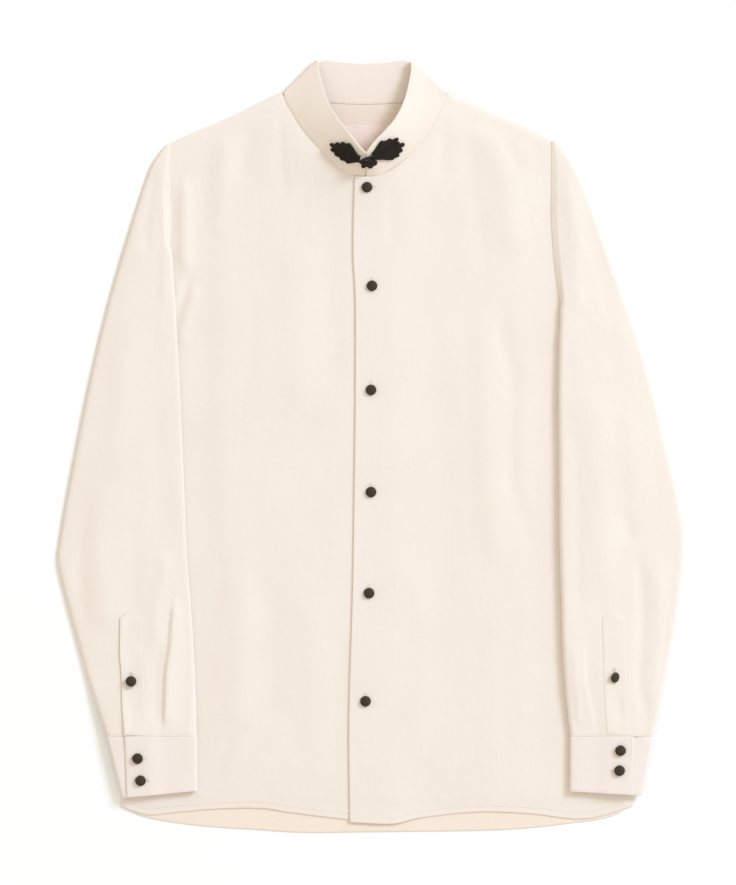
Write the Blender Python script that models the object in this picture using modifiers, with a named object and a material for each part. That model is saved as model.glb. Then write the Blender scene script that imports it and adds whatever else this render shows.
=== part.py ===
"""A long-sleeved shirt with a band collar, a corded frog and covered buttons, laid out flat on its back.

The shirt lies on the plane Z = 0. +X points to the wearer's left, +Y to the collar and +Z out of the front.
Tables and sizes are in millimetres, and MM turns them into metres when a mesh is made. In the tables, "out"
is the distance from the middle of the body outwards, so one form of table serves both sides of the body.
"""
import math

import bmesh
import bpy
import numpy as np
from mathutils import Vector
from mathutils.bvhtree import BVHTree
from mathutils.geometry import delaunay_2d_cdt

# Driving sizes

MM = 0.001
CLOTH = 1.2               # wall of a single layer of cloth
FUSED = 2.0               # wall of the collar and the cuffs, which are doubled and fused
SEAM = 0.3                # space left between pieces that are sewn to each other
BUTT = 0.45               # space between two edges that meet side by side
FRONT_REST = 2.3          # middle of the front's wall where the front lies pressed on the back
FRONT_LOFT = 1.3          # how much higher the free part of the front floats
RIM_START = 0.78          # middle of the front's wall where it turns down to the floor at side and shoulder
RIM_RUN = 4.6             # width of that turn
BACK_INSET = 4.5          # how far the back's edge lies inside the front's turned rim
FREE_X = 172.0            # the fronts float freely inside this far out, and lie pressed beyond it
FREE_X_RUN = 30.0         # width of the change between the two
FREE_RIM_RUN = 25.0       # the same beside the turned rims
FREE_HEM_Y = -374.0       # the loft dies out at the hem
FREE_HEM_RUN = 60.0
FOLD_FADE = 0.18          # share of a fold's length over which it fades at each end
FOLD_END = 0.15           # start of that fade, so that a fold's end isn't quite flat
LAP = 1.9                 # height of the left front over the right front where they button
UNDERLAP_X = 16.0         # edge of the right front, hidden under the left front
STRIP_X = 18.0            # inner edge of the doubled strip along the left front's edge
STRIP_RUN = 13.0          # width over which the left front comes down beside that strip
NECK_REACH = 34.0         # how far the lift of the collar spreads into the fronts
SLEEVE_GAP = 0.35         # space between the sleeve and what it lies on
SLEEVE_BEND = 3.5         # width of a sleeve's rounded edge
BEND_SHARE = 0.22         # the most of a narrow sleeve's width that this edge takes
INNER_EDGE_DROP = 0.25    # how much the upper layer has already come down where it meets the inner edge
OUTER_EDGE_DROP = 0.3     # and the outer edge
SLEEVE_DOME = 1.1         # rise of a sleeve's middle over its edges
DOME_WIDTH = 40.0         # a sleeve as wide as this has the whole dome
DOME_END_RUN = 60.0       # length over which the dome flattens into the cuff
FOLD_END_RUN = 25.0       # and over which the sleeve's folds do
EDGE_SHARE = 0.12         # share of the width at each edge over which the folds die out
SEAM_INSET = 1.7          # how far inside the armhole seam the sleeve's upper layer starts
UNDERARM_INSET = 5.5      # how far inside the body's side the sleeve's lower layer joins its flap
RAMP_OUT = 1.6            # the lower layer comes down from there past the body's side
FOOT_OUT = 13.0           # and reaches the floor this far outside it
RAMP_HEIGHT = [(10.0, 2.45), (50.0, 3.6)]     # y and height of the place beside the body's side
UNDERARM_HEIGHT = 3.3     # height of the join at the underarm
UNDERARM_RAMP_HEIGHT = 2.0
FLAP_RISE = 0.45          # extra height of the flap near the underarm
FLAP_RISE_Y = 10.0
FLAP_RISE_RUN = 30.0
CUFF_RISE_Y = -248.0      # the lower layer rises to the cuff from here
CUFF_RISE_RUN = 36.0
CUFF_GAP = 2.4            # hollow inside a flattened cuff
CUFF_OVERLAP = 24.0       # how far the buttoned end of a cuff covers the other
CUFF_STEP = 10.5          # width over which the covering end comes down beside the other
CUFF_TOP_Y = -290.6
SLEEVE_END_Y = -290.0
COLLAR_CROWN = 1.6        # how far the stiff collar bows out across its width
CROWN_START_Z = 9.5       # the crown starts where the free edge is this high
CROWN_RUN = 8.0
EASE = 0.1                # extra space over a seam's where a piece lies on a slope
FROG_EASE = 0.15
PLACKET_EASE = 0.25
KNOT_SEAT = 0.2           # space between the knot and what it lies on
BUTTON_RADIUS = 5.7
BUTTON_HEIGHT = 3.8
BUTTON_FOOT = 6.0         # a button is seated on the highest cloth within this far of its middle
SLOPE_REACH = 4.0         # the cloth's slope is measured this far to each side
LABEL_WALL = 1.0
PLACKET_POINT = 8.0       # height of the sleeve placket's pointed top

RIGHT = -1                # sign of X on the wearer's right
LEFT = 1                  # and on the wearer's left

# Heights that follow from the sizes above

SLEEVE_LOW = FRONT_REST + CLOTH + SLEEVE_GAP
CUFF_LOW = FRONT_REST + CLOTH / 2 + SLEEVE_GAP + FUSED / 2
CUFF_HIGH = CUFF_LOW + FUSED + CUFF_GAP
CUFF_OVER = CUFF_HIGH + FUSED + SEAM + EASE
PLACKET_LIFT = CLOTH + SEAM + PLACKET_EASE

# Outlines of the body: each row is x, y

SHOULDER = {
    RIGHT: [(-91.5, 352.5), (-145.0, 326.5), (-186.5, 309.0), (-201.5, 301.5)],
    LEFT: [(78.5, 353.5), (142.5, 323.5), (172.0, 310.0), (181.8, 305.0)],
}
ARMHOLE = {
    RIGHT: [(-201.5, 301.5), (-204.0, 280.0), (-203.0, 258.0), (-202.2, 215.0), (-206.0, 185.0),
            (-211.5, 152.0), (-223.0, 116.0), (-238.0, 85.0), (-252.5, 68.0)],
    LEFT: [(181.8, 305.0), (181.5, 282.0), (181.5, 260.0), (182.0, 215.0), (188.0, 155.0),
           (203.0, 114.0), (226.0, 87.0), (251.0, 68.0)],
}
SIDE = {
    RIGHT: [(-252.5, 68.0), (-251.0, 0.0), (-250.5, -160.0), (-250.8, -300.0), (-250.5, -360.5)],
    LEFT: [(251.0, 68.0), (255.0, 0.0), (259.5, -160.0), (261.5, -300.0), (261.5, -360.0)],
}
FRONT_HEM = {
    RIGHT: [(-250.5, -360.5), (-224.5, -369.0), (-199.5, -367.0), (-153.5, -363.1), (-111.5, -362.5),
            (-79.5, -367.0), (-21.5, -374.0), (UNDERLAP_X, -376.0)],
    LEFT: [(261.5, -360.0), (229.0, -370.5), (201.5, -373.0), (159.5, -368.0), (105.5, -366.2),
           (49.5, -372.0), (21.5, -378.0), (-21.5, -376.5)],
}
BACK_HEM = [(-250.5, -361.0), (-224.5, -371.5), (-174.5, -379.5), (-111.5, -384.0), (-65.5, -386.6),
            (4.5, -386.0), (88.5, -385.0), (128.5, -384.0), (164.5, -381.5), (201.5, -377.0),
            (235.5, -372.0), (261.5, -361.0)]
BACK_NECK = [(-87.0, 352.5), (-71.5, 346.5), (-41.5, 342.5), (-6.5, 341.0), (28.5, 342.5), (58.5, 346.5),
             (74.0, 353.0)]
# The back's armhole edge stops below this y and inside this far out, and its neck between these x

BACK_HOLE = {RIGHT: (295.0, 242.0), LEFT: (297.0, 240.0)}
BACK_NECK_X = (-82.0, 69.0)

# The left front's free edge

LEFT_EDGE = [(-21.5, -376.5), (-22.5, -291.5), (-21.5, -235.5), (-18.5, -136.5), (-17.0, -38.5),
             (-16.0, 45.5), (-16.0, 145.5), (-18.3, 195.5), (-16.8, 269.0)]

# The collar's seam to the fronts, from the centre front to the shoulder: each row is x, y

NECK_SEAM = {
    RIGHT: [(-5.9, 268.8), (-18.0, 270.0), (-32.0, 278.0), (-48.0, 293.0), (-62.0, 307.5), (-74.0, 323.5),
            (-82.5, 338.0), (-86.5, 347.0)],
    LEFT: [(-5.0, 268.8), (6.0, 269.5), (18.0, 274.5), (33.5, 286.0), (46.0, 299.0), (57.0, 313.5),
           (66.0, 329.0), (73.5, 346.0)],
}
# How much the standing collar lifts the fronts: each row is y, height

NECK_LIFT = [(269.0, 4.6), (352.0, 2.0)]

# The collar's free edge over the same stations: each row is x, y, z

COLLAR_EDGE = {
    RIGHT: [(-6.3, 291.5, 26.5), (-13.0, 299.5, 26.5), (-22.5, 311.5, 25.0), (-31.5, 323.0, 22.5),
            (-39.0, 335.0, 19.5), (-45.5, 349.0, 16.0), (-50.5, 366.0, 12.5), (-52.8, 377.0, 10.0)],
    LEFT: [(-4.6, 291.5, 26.5), (2.0, 302.0, 26.5), (13.0, 313.5, 25.0), (22.0, 324.0, 22.5),
           (29.0, 336.0, 19.5), (34.0, 349.0, 16.0), (38.0, 366.0, 12.5), (39.5, 377.0, 10.0)],
}
# Where the collar turns over at the shoulders: middle of the turn at the seam and at the free edge

COLLAR_TURN = {
    RIGHT: {"seam": (-86.8, 351.0), "seam_radius": 1.75, "edge": (-51.8, 382.3), "edge_radius": 4.0},
    LEFT: {"seam": (74.0, 351.0), "seam_radius": 1.75, "edge": (38.3, 382.3), "edge_radius": 4.0},
}
TURN_ANGLES = (75, 40, 0, -40, -75)
TURN_WAY = (0.75, 0.66)   # the way that turn faces on the floor, outwards and towards the collar

# The back of the collar, flat on the floor: each row is seam x, seam y, edge x, edge y

COLLAR_BACK = [(-71.5, 346.9, -44.5, 385.2), (-41.5, 342.9, -29.0, 383.2), (-6.5, 341.4, -7.0, 381.9),
               (28.5, 342.9, 16.0, 383.2), (58.5, 346.9, 31.5, 385.2)]

# Sleeves: each row is y, out of the outer edge, out of the inner edge

SLEEVE = {
    RIGHT: [(299.0, 205.5, 201.5), (293.0, 210.5, 202.6), (280.0, 219.0, 203.6), (258.0, 227.5, 203.0),
            (215.0, 241.0, 201.0), (145.0, 261.5, 196.5), (73.0, 279.0, 192.5), (5.0, 293.0, 189.5),
            (-55.0, 304.5, 187.0), (-95.0, 311.0, 185.5), (-115.0, 313.0, 184.5), (-146.0, 306.5, 182.0),
            (-195.0, 293.5, 178.5), (-245.0, 279.5, 176.2), (-290.0, 264.0, 175.0)],
    LEFT: [(302.5, 185.5, 181.6), (294.5, 191.5, 181.5), (280.5, 202.0, 181.5), (250.5, 215.0, 181.6),
           (219.5, 226.5, 182.0), (138.5, 255.5, 188.6), (100.5, 268.5, 187.6), (45.5, 283.5, 186.8),
           (-9.5, 296.5, 187.4), (-61.5, 308.5, 187.8), (-94.5, 313.0, 188.0), (-144.5, 308.5, 189.5),
           (-194.5, 300.5, 190.8), (-245.5, 291.5, 194.0), (-290.0, 281.5, 198.8)],
}
# Height of a sleeve's upper layer: each row is y, height at the inner edge, height at the outer edge

SLEEVE_HEIGHT = {
    RIGHT: [(302.0, 4.3, 3.7), (280.0, 4.6, 4.4), (215.0, 5.4, 5.2), (190.0, 6.9, 5.2), (150.0, 7.6, 5.2),
            (-200.0, 7.6, 5.4), (-250.0, 8.0, 7.2), (-290.0, CUFF_HIGH, CUFF_HIGH)],
    LEFT: [(305.0, 4.3, 3.7), (280.0, 4.6, 4.4), (160.0, 5.2, 5.2), (120.0, 7.0, 5.2), (80.0, 7.6, 5.2),
           (-200.0, 7.6, 5.4), (-250.0, 8.0, 7.2), (-290.0, CUFF_HIGH, CUFF_HIGH)],
}
SLEEVE_ROWS = {
    RIGHT: [298.5, 292.0, 283.0, 270.0, 252.0, 233.0, 220.0, 207.0, 190.0, 170.0, 150.0, 130.0, 112.0, 97.0,
            86.0, 76.0, 64.0, 50.0, 30.0],
    LEFT: [302.0, 295.0, 286.0, 272.0, 254.0, 233.0, 210.0, 187.0, 168.0, 150.0, 132.0, 117.0, 102.0, 88.0,
           78.0, 71.0, 64.0, 50.0, 30.0],
}
SLEEVE_ROW_STEP = 23.0    # spacing of the rows below those
FOLD_START_Y = {RIGHT: 207.0, LEFT: 150.0}    # below this the sleeve folds over its armhole seam
UNDERARM_Y = 64.0         # from here down the sleeve is a closed tube
UNDERARM_OUT = {RIGHT: 257.5, LEFT: 257.0}

# Cuffs: out of each edge at the top and at the bottom of the cuff, and y of the bottom corners

CUFF = {
    RIGHT: {"outer": (264.0, 248.5), "inner": (175.0, 174.5), "lap": (246.3, 244.0),
            "bottom": (-352.0, -345.0)},
    LEFT: {"outer": (281.5, 270.0), "inner": (198.8, 198.5), "lap": (262.0, 261.0),
           "bottom": (-349.5, -345.5)},
}
# Strips sewn over the sleeves' slits: each row is y, out of the edge nearer the sleeve's outer fold

PLACKET = {
    RIGHT: [(-172.0, 251.0), (-209.0, 251.5), (-225.0, 250.0), (-264.0, 248.8), (-289.2, 246.6)],
    LEFT: [(-172.0, 252.5), (-209.0, 253.5), (-225.0, 254.0), (-264.0, 255.5), (-289.2, 257.5)],
}
PLACKET_WIDTH = 22.0

# Folds of the front: route as x, y points, half width, height (a trough is negative)

FRONT_FOLDS = [
    {"route": [(-166, 308), (-174, 280), (-178, 256), (-181, 228), (-186, 205)], "width": 7, "height": -0.9},
    {"route": [(-119, 321), (-127, 290), (-129, 264)], "width": 8, "height": -0.8},
    {"route": [(-146, 316), (-150, 285), (-154, 250), (-158, 205)], "width": 11, "height": 1.4},
    {"route": [(-43, 236), (-41, 150), (-38, 50)], "width": 13, "height": -0.8},
    {"route": [(-74, 210), (-77, 120), (-70, 20)], "width": 18, "height": 1.0},
    {"route": [(-150, -110), (-162, -163), (-168, -182)], "width": 8, "height": -0.8},
    {"route": [(-104, -134), (-101, -225), (-96, -286)], "width": 15, "height": -0.8},
    {"route": [(-128, -120), (-130, -200), (-133, -290)], "width": 13, "height": 1.3},
    {"route": [(71, 335), (72, 300), (71, 265)], "width": 7, "height": -0.8},
    {"route": [(132, 306), (142, 290), (151, 272)], "width": 7, "height": -0.8},
    {"route": [(104, 325), (128, 280), (137, 235), (140, 190)], "width": 14, "height": 1.3},
    {"route": [(130, 145), (131, 108), (142, 60), (140, -30), (160, -94), (170, -126)], "width": 8,
     "height": -0.9},
    {"route": [(112, 140), (114, 60), (118, -40), (128, -130)], "width": 13, "height": 1.2},
    {"route": [(155, -326), (178, -355)], "width": 8, "height": -0.8},
]
# Folds of each sleeve's upper layer: route as out, y points

SLEEVE_FOLDS = {
    RIGHT: [
        {"route": [(216, 276), (224, 232), (226, 190)], "width": 7, "height": -1.0},
        {"route": [(206, 258), (205, 200), (207, 138)], "width": 6, "height": 0.9},
        {"route": [(218, 138), (218, 60), (214, -20), (206, -110)], "width": 12, "height": -0.8},
        {"route": [(268, -30), (272, -110), (264, -190)], "width": 14, "height": 1.4},
        {"route": [(204, -104), (214, -160), (216, -215)], "width": 8, "height": 1.0},
        {"route": [(194, -115), (198, -165), (204, -232), (207, -284)], "width": 5, "height": -1.1},
    ],
    LEFT: [
        {"route": [(196, 268), (204, 200), (206, 130)], "width": 9, "height": 1.0},
        {"route": [(252, -72), (258, -88)], "width": 9, "height": -0.8},
        {"route": [(265, -104), (270, -195), (268, -240), (277, -274)], "width": 7, "height": -1.1},
        {"route": [(226, 60), (230, -60), (232, -160)], "width": 15, "height": 1.2},
        {"route": [(215, -214), (215, -237), (220, -284)], "width": 5, "height": -1.0},
    ],
}
# Buttons: each row is x, y

FRONT_BUTTONS = [(-4.5, 258.0), (0.5, 159.5), (-0.5, 55.5), (-0.5, -46.5), (-2.5, -147.5), (-6.0, -255.5)]
CUFF_BUTTONS = {RIGHT: [(-233.5, -312.5), (-230.5, -334.5)], LEFT: [(248.5, -304.5), (247.5, -324.5)]}
PLACKET_BUTTONS = {RIGHT: (-240.0, -235.5), LEFT: (242.5, -231.5)}

# The frog: each wing runs from its root by the knot to its tip

FROG_WINGS = {
    RIGHT: {"root": (-11.4, 281.8), "tip": (-42.0, 301.8)},
    LEFT: {"root": (4.2, 286.2), "tip": (33.2, 307.2)},
}
# Half width of a wing along its length: each row is share of the length, half width

WING_SHAPE = [(0.0, 3.0), (0.12, 4.4), (0.35, 7.4), (0.6, 9.4), (0.82, 9.6), (0.94, 7.6), (1.0, 3.8)]
WING_LOBES = 4.5
WING_LOBE_DEPTH = 1.5
WING_LOBE_START = 0.25    # the scallops reach their depth at this share of the length
WING_TIP = 1.045          # the tip's place as a share of the length
WING_WALL = 2.4
KNOT = {"place": (-3.6, 283.8), "size": (12.6, 9.0, 7.6)}
RAY_FROM_Z = 200.0        # the frog's places are dropped onto the collar from this height
LABEL = {"x": (-28.5, 20.5), "y": (281.0, 320.0)}

# Curves and distances


def smooth_curve(points, step):
    """Places about every step millimetres along a smooth curve through the points."""
    p = np.array(points, float)
    p = np.vstack([2 * p[0] - p[1], p, 2 * p[-1] - p[-2]])
    fine = []
    for a, b, c, d in zip(p, p[1:], p[2:], p[3:]):
        for t in np.linspace(0, 1, 8, endpoint=False):
            bend = (2 * a - 5 * b + 4 * c - d) * t * t + (3 * b - a - 3 * c + d) * t ** 3
            fine.append(0.5 * (2 * b + (c - a) * t + bend))
    fine.append(p[-2])
    fine = np.array(fine)
    length = np.concatenate([[0], np.cumsum(np.linalg.norm(np.diff(fine, axis=0), axis=1))])
    at = np.linspace(0, length[-1], max(2, round(length[-1] / step) + 1))
    return np.column_stack([np.interp(at, length, fine[:, k]) for k in range(fine.shape[1])])


def read_table(rows, y, column):
    """The value of a table's column at height y, where the first column runs down in y."""
    fine = smooth_curve(rows, 6.0)
    return float(np.interp(-y, -fine[:, 0], fine[:, column]))


def step_up(value):
    """A soft step from 0 to 1 as the value goes from 0 to 1."""
    v = min(1.0, max(0.0, value))
    return v * v * (3 - 2 * v)


def route_distance(x, y, route):
    """Distance from a place to a route, and the share of the route at the nearest point."""
    p = np.array(route, float)
    start = p[:-1]
    run = p[1:] - start
    length = np.maximum(np.linalg.norm(run, axis=1), 1e-9)
    share = np.clip(((np.array([x, y]) - start) * run).sum(axis=1) / length ** 2, 0, 1)
    gap = np.linalg.norm(start + run * share[:, None] - np.array([x, y]), axis=1)
    nearest = int(np.argmin(gap))
    along = (length[:nearest].sum() + share[nearest] * length[nearest]) / length.sum()
    return float(gap[nearest]), float(along)


def fold_height(x, y, folds):
    """What the folds add to the height at a place. A fold fades towards both of its ends."""
    total = 0.0
    for fold in folds:
        gap, along = route_distance(x, y, fold["route"])
        fade = step_up(min(along, 1 - along) / FOLD_FADE + FOLD_END)
        total += fold["height"] * fade * math.exp(-(gap / fold["width"]) ** 2)
    return total


# Heights of the fronts

NECK_LINE = {side: smooth_curve(NECK_SEAM[side], 8.0) for side in (RIGHT, LEFT)}
RIM_LINES = [smooth_curve(SHOULDER[side], 12.0) for side in (RIGHT, LEFT)]
RIM_LINES += [smooth_curve(SIDE[side], 25.0) for side in (RIGHT, LEFT)]


def neck_lift(x, y):
    """How much the standing collar lifts the fronts, most at the centre front."""
    gap = min(route_distance(x, y, NECK_LINE[side])[0] for side in (RIGHT, LEFT))
    most = np.interp(y, *zip(*NECK_LIFT))
    return float(most) * math.exp(-(gap / NECK_REACH) ** 2)


def front_height(x, y):
    """Middle of the right front's wall: pressed under the sleeves and at the rims, floating between them."""
    rim = min(route_distance(x, y, line)[0] for line in RIM_LINES)
    turn = min(1.0, rim / RIM_RUN)
    free = step_up((FREE_X - abs(x)) / FREE_X_RUN) * step_up((rim - RIM_RUN) / FREE_RIM_RUN)
    free *= step_up((y - FREE_HEM_Y) / FREE_HEM_RUN)
    loft = free * (FRONT_LOFT + fold_height(x, y, FRONT_FOLDS))
    return RIM_START + (FRONT_REST - RIM_START) * turn + loft + neck_lift(x, y)


def left_front_height(x, y):
    """Middle of the left front's wall, which lies over the right front along the buttoned strip."""
    return front_height(x, y) + LAP * (1 - step_up((x - STRIP_X) / STRIP_RUN))


# Making solids

shirt = bpy.data.collections.new("band_collar_shirt")


def clear_scene():
    """Takes away whatever the file starts with."""
    for thing in list(bpy.data.objects):
        bpy.data.objects.remove(thing, do_unlink=True)
    bpy.context.scene.collection.children.link(shirt)


def finish_of(name, colour, roughness):
    """A plain Principled finish for one piece."""
    finish = bpy.data.materials.new(name)
    finish.use_nodes = True
    surface = finish.node_tree.nodes["Principled BSDF"]
    surface.inputs["Base Color"].default_value = (*colour, 1)
    surface.inputs["Roughness"].default_value = roughness
    surface.inputs["Metallic"].default_value = 0
    finish.diffuse_color = (*colour, 1)
    return finish


CREAM = (0.90, 0.85, 0.77)
BLACK_CORD = (0.02, 0.016, 0.012)
DARK_BROWN = (0.045, 0.034, 0.024)
PALE_PINK = (0.87, 0.68, 0.64)


def add_solid(name, mesh, colour, roughness=0.85, wall=None, smooth=True):
    """Puts a mesh in the scene as one named piece; a wall thickens an open surface to both sides."""
    thing = bpy.data.objects.new(name, mesh)
    shirt.objects.link(thing)
    mesh.materials.append(finish_of(name + "_finish", colour, roughness))
    if smooth:
        mesh.shade_smooth()
    if wall:
        thicken = thing.modifiers.new("wall", "SOLIDIFY")
        thicken.thickness = wall * MM
        thicken.offset = 0
        thicken.use_even_offset = False
    return thing


def surface_mesh(name, places, faces):
    """A mesh from places in millimetres, with its faces turned up."""
    mesh = bpy.data.meshes.new(name)
    mesh.from_pydata([tuple(c * MM for c in p) for p in places], [], faces)
    mesh.validate()
    form = bmesh.new()
    form.from_mesh(mesh)
    bmesh.ops.recalc_face_normals(form, faces=form.faces)
    if sum(face.normal.z * face.calc_area() for face in form.faces) < 0:
        bmesh.ops.reverse_faces(form, faces=form.faces)
    form.to_mesh(mesh)
    form.free()
    return mesh


def inside(x, y, outline):
    """Whether a place lies inside a closed outline."""
    x0, y0 = outline[:, 0], outline[:, 1]
    x1, y1 = np.roll(x0, -1), np.roll(y0, -1)
    crossing = (y0 > y) != (y1 > y)
    reach = x0 + (y - y0) * (x1 - x0) / np.where(y1 == y0, 1e-9, y1 - y0)
    return bool(np.count_nonzero(crossing & (x < reach)) % 2)


def cut_piece(outline, place, spacing, rim=0.0, lines=()):
    """Places and faces of a cut piece, set by place(x, y): outline, inner rim line, creases and a net."""
    outline = np.array(outline, float)
    closed = np.vstack([outline, outline[:1]])
    spots = [tuple(p) for p in outline]
    edges = []

    def keep(x, y, clear, apart):
        """Adds a spot unless it lies outside, too near the outline or too near another spot inside."""
        if not inside(x, y, outline) or route_distance(x, y, closed)[0] < clear:
            return False
        others = np.array(spots[len(outline):])
        if len(others) and np.min(np.hypot(others[:, 0] - x, others[:, 1] - y)) < apart:
            return False
        spots.append((x, y))
        return True

    def keep_line(points, clear, apart):
        """Adds a run of spots, each joined to the one before it."""
        joined = False
        for x, y in points:
            kept = keep(x, y, clear, apart)
            if kept and joined:
                edges.append((len(spots) - 2, len(spots) - 1))
            joined = kept

    if rim:
        ahead = np.roll(outline, -1, axis=0) - np.roll(outline, 1, axis=0)
        normal = np.column_stack([-ahead[:, 1], ahead[:, 0]])
        normal /= np.linalg.norm(normal, axis=1)[:, None]
        x, y = outline.T
        turned = float(np.sum(x * np.roll(y, -1) - np.roll(x, -1) * y))
        keep_line(outline + np.sign(turned) * normal * rim, rim * 0.95, rim * 0.6)
    for line in lines:
        keep_line(smooth_curve(line, spacing * 0.85), rim + 4, spacing * 0.3)
    low, high = outline.min(axis=0), outline.max(axis=0)
    for row, y in enumerate(np.arange(low[1], high[1], spacing * 0.87)):
        for x in np.arange(low[0] + (row % 2) * spacing / 2, high[0], spacing):
            keep(x, y, rim + spacing * 0.35, spacing * 0.55)
    cut = delaunay_2d_cdt([Vector(p) for p in spots], edges, [list(range(len(outline)))], 1, 1e-4)
    return [place(p.x, p.y) for p in cut[0]], [list(face) for face in cut[2]]


def join_outline(*stretches):
    """One closed outline from stretches that end where the next begins."""
    points = []
    for stretch in stretches:
        for p in stretch:
            if not points or np.hypot(p[0] - points[-1][0], p[1] - points[-1][1]) > 0.5:
                points.append((float(p[0]), float(p[1])))
    if np.hypot(points[0][0] - points[-1][0], points[0][1] - points[-1][1]) < 0.5:
        points.pop()
    return points


def shifted(points, distance):
    """A stretch of outline moved sideways, to the left of the way it runs."""
    p = np.array(points, float)
    ahead = np.gradient(p, axis=0)
    normal = np.column_stack([-ahead[:, 1], ahead[:, 0]])
    return p + normal / np.linalg.norm(normal, axis=1)[:, None] * distance


# Body


def make_back():
    """The back: one flat piece on the floor, its sides and shoulders inside the fronts' turned rims."""
    right_side = smooth_curve(SIDE[RIGHT], 30.0)[1:-1] + (BACK_INSET, 0)
    left_side = smooth_curve(SIDE[LEFT], 30.0)[1:-1] - (BACK_INSET, 0)
    right_shoulder = shifted(smooth_curve(SHOULDER[RIGHT], 20.0), BACK_INSET)
    left_shoulder = shifted(smooth_curve(SHOULDER[LEFT], 20.0), -BACK_INSET)
    hem = smooth_curve(BACK_HEM, 14.0)[1:-1]
    holes = {}
    for side, (top, out) in BACK_HOLE.items():
        hole = smooth_curve(ARMHOLE[side], 14.0)[1:-1]
        holes[side] = hole[(hole[:, 1] < top) & (abs(hole[:, 0]) < out)]
    neck = smooth_curve(BACK_NECK, 12.0)
    neck = neck[(neck[:, 0] > BACK_NECK_X[0]) & (neck[:, 0] < BACK_NECK_X[1])]
    outline = join_outline(
        neck, left_shoulder[1:-1], holes[LEFT], left_side, hem[::-1], right_side[::-1], holes[RIGHT][::-1],
        right_shoulder[1:-1][::-1])
    curve = bpy.data.curves.new("back_panel_outline", "CURVE")
    curve.dimensions = "2D"
    curve.fill_mode = "BOTH"
    curve.extrude = CLOTH / 2 * MM
    spline = curve.splines.new("POLY")
    spline.points.add(len(outline) - 1)
    for point, (x, y) in zip(spline.points, outline):
        point.co = (x * MM, y * MM, 0, 1)
    spline.use_cyclic_u = True
    back = bpy.data.objects.new("back_panel", curve)
    back.location.z = CLOTH / 2 * MM
    curve.materials.append(finish_of("back_panel_finish", CREAM, 0.85))
    shirt.objects.link(back)


def neck_edge(side):
    """The front's edge along the collar, one seam's space outside the collar's wall."""
    line = smooth_curve(NECK_SEAM[side], 11.0)
    return shifted(line, -side * (BUTT + 0.5))


def with_turn_points(stretch):
    """A free stretch of outline with points where the turned rims beside its two ends stop."""
    p = np.array(stretch, float)
    first = p[0] + (p[1] - p[0]) / np.linalg.norm(p[1] - p[0]) * RIM_RUN * 1.3
    last = p[-1] + (p[-2] - p[-1]) / np.linalg.norm(p[-2] - p[-1]) * RIM_RUN * 1.3
    return np.vstack([p[:1], [first], p[1:-1], [last], p[-1:]])


def make_front(side):
    """A front: its shoulder and side turn down to the floor, its other edges lie free over the back."""
    shoulder = with_turn_points(smooth_curve(SHOULDER[side], 20.0))
    hole = with_turn_points(smooth_curve(ARMHOLE[side], 18.0))
    seam = with_turn_points(smooth_curve(SIDE[side], 36.0))
    hem = with_turn_points(smooth_curve(FRONT_HEM[side], 21.0))
    neck = with_turn_points(neck_edge(side))
    if side == RIGHT:
        underlap = [(UNDERLAP_X, y) for y in np.arange(-356, 262, 24.0)] + [(UNDERLAP_X, 271.0)]
        first_neck = [(6.0, 267.0)]
        outline = join_outline(first_neck, neck, shoulder, hole, seam, hem, underlap)
        height = front_height
    else:
        edge = smooth_curve(LEFT_EDGE, 22.0)
        outline = join_outline(neck, shoulder, hole, seam, hem, edge)
        height = left_front_height
    creases = [fold["route"] for fold in FRONT_FOLDS if side * fold["route"][0][0] > 0]
    if side == LEFT:
        creases += [[(x, -374.0), (x, 0.0), (x, 268.0)] for x in (STRIP_X + 1, STRIP_X + STRIP_RUN)]
    places, faces = cut_piece(outline, lambda x, y: (x, y, height(x, y)), 28.0, rim=RIM_RUN, lines=creases)
    name = "front_right" if side == RIGHT else "front_left"
    add_solid(name, surface_mesh(name, places, faces), CREAM, wall=CLOTH)


# Collar


def collar_stations():
    """The collar from its right end round the back to its left end: seam place and free-edge place."""
    stations = []
    for side in (RIGHT, LEFT):
        front = []
        for (x, y), edge in zip(NECK_SEAM[side], COLLAR_EDGE[side]):
            front.append(((x, y, front_height(x, y) + (LAP if side == LEFT and x < STRIP_X else 0)), edge))
        turn = COLLAR_TURN[side]
        for angle in TURN_ANGLES:
            lean = math.cos(math.radians(angle))
            rise = math.sin(math.radians(angle))
            ends = []
            for end in ("seam", "edge"):
                x, y = turn[end]
                radius = turn[end + "_radius"]
                ends.append((x + side * TURN_WAY[0] * radius * lean, y + TURN_WAY[1] * radius * lean,
                             FUSED / 2 + radius * (1 + rise)))
            front.append(tuple(ends))
        stations.append(front)
    back = [((a, b, FUSED / 2), (c, d, FUSED / 2)) for a, b, c, d in COLLAR_BACK]
    return stations[0] + back + stations[1][::-1]


def make_collar():
    """The band collar: one strip that stands in front, turns over at the shoulders and lies flat behind."""
    stations = collar_stations()
    levels = [0.0, 0.25, 0.5, 0.75, 1.0]
    places = []
    for seam, edge in stations:
        seam = np.array(seam)
        edge = np.array(edge)
        for level in levels:
            standing = min(1.0, max(0.0, (edge[2] - CROWN_START_Z) / CROWN_RUN))
            crown = COLLAR_CROWN * math.sin(math.pi * level) * standing
            places.append(tuple(seam + (edge - seam) * level + (0, 0, crown)))
    across = len(levels)
    faces = []
    for s in range(len(stations) - 1):
        for k in range(across - 1):
            a = s * across + k
            faces.append([a, a + 1, a + across + 1, a + across])
    mesh = surface_mesh("collar", places, faces)
    return add_solid("collar", mesh, CREAM, wall=FUSED)


# Sleeves


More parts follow.
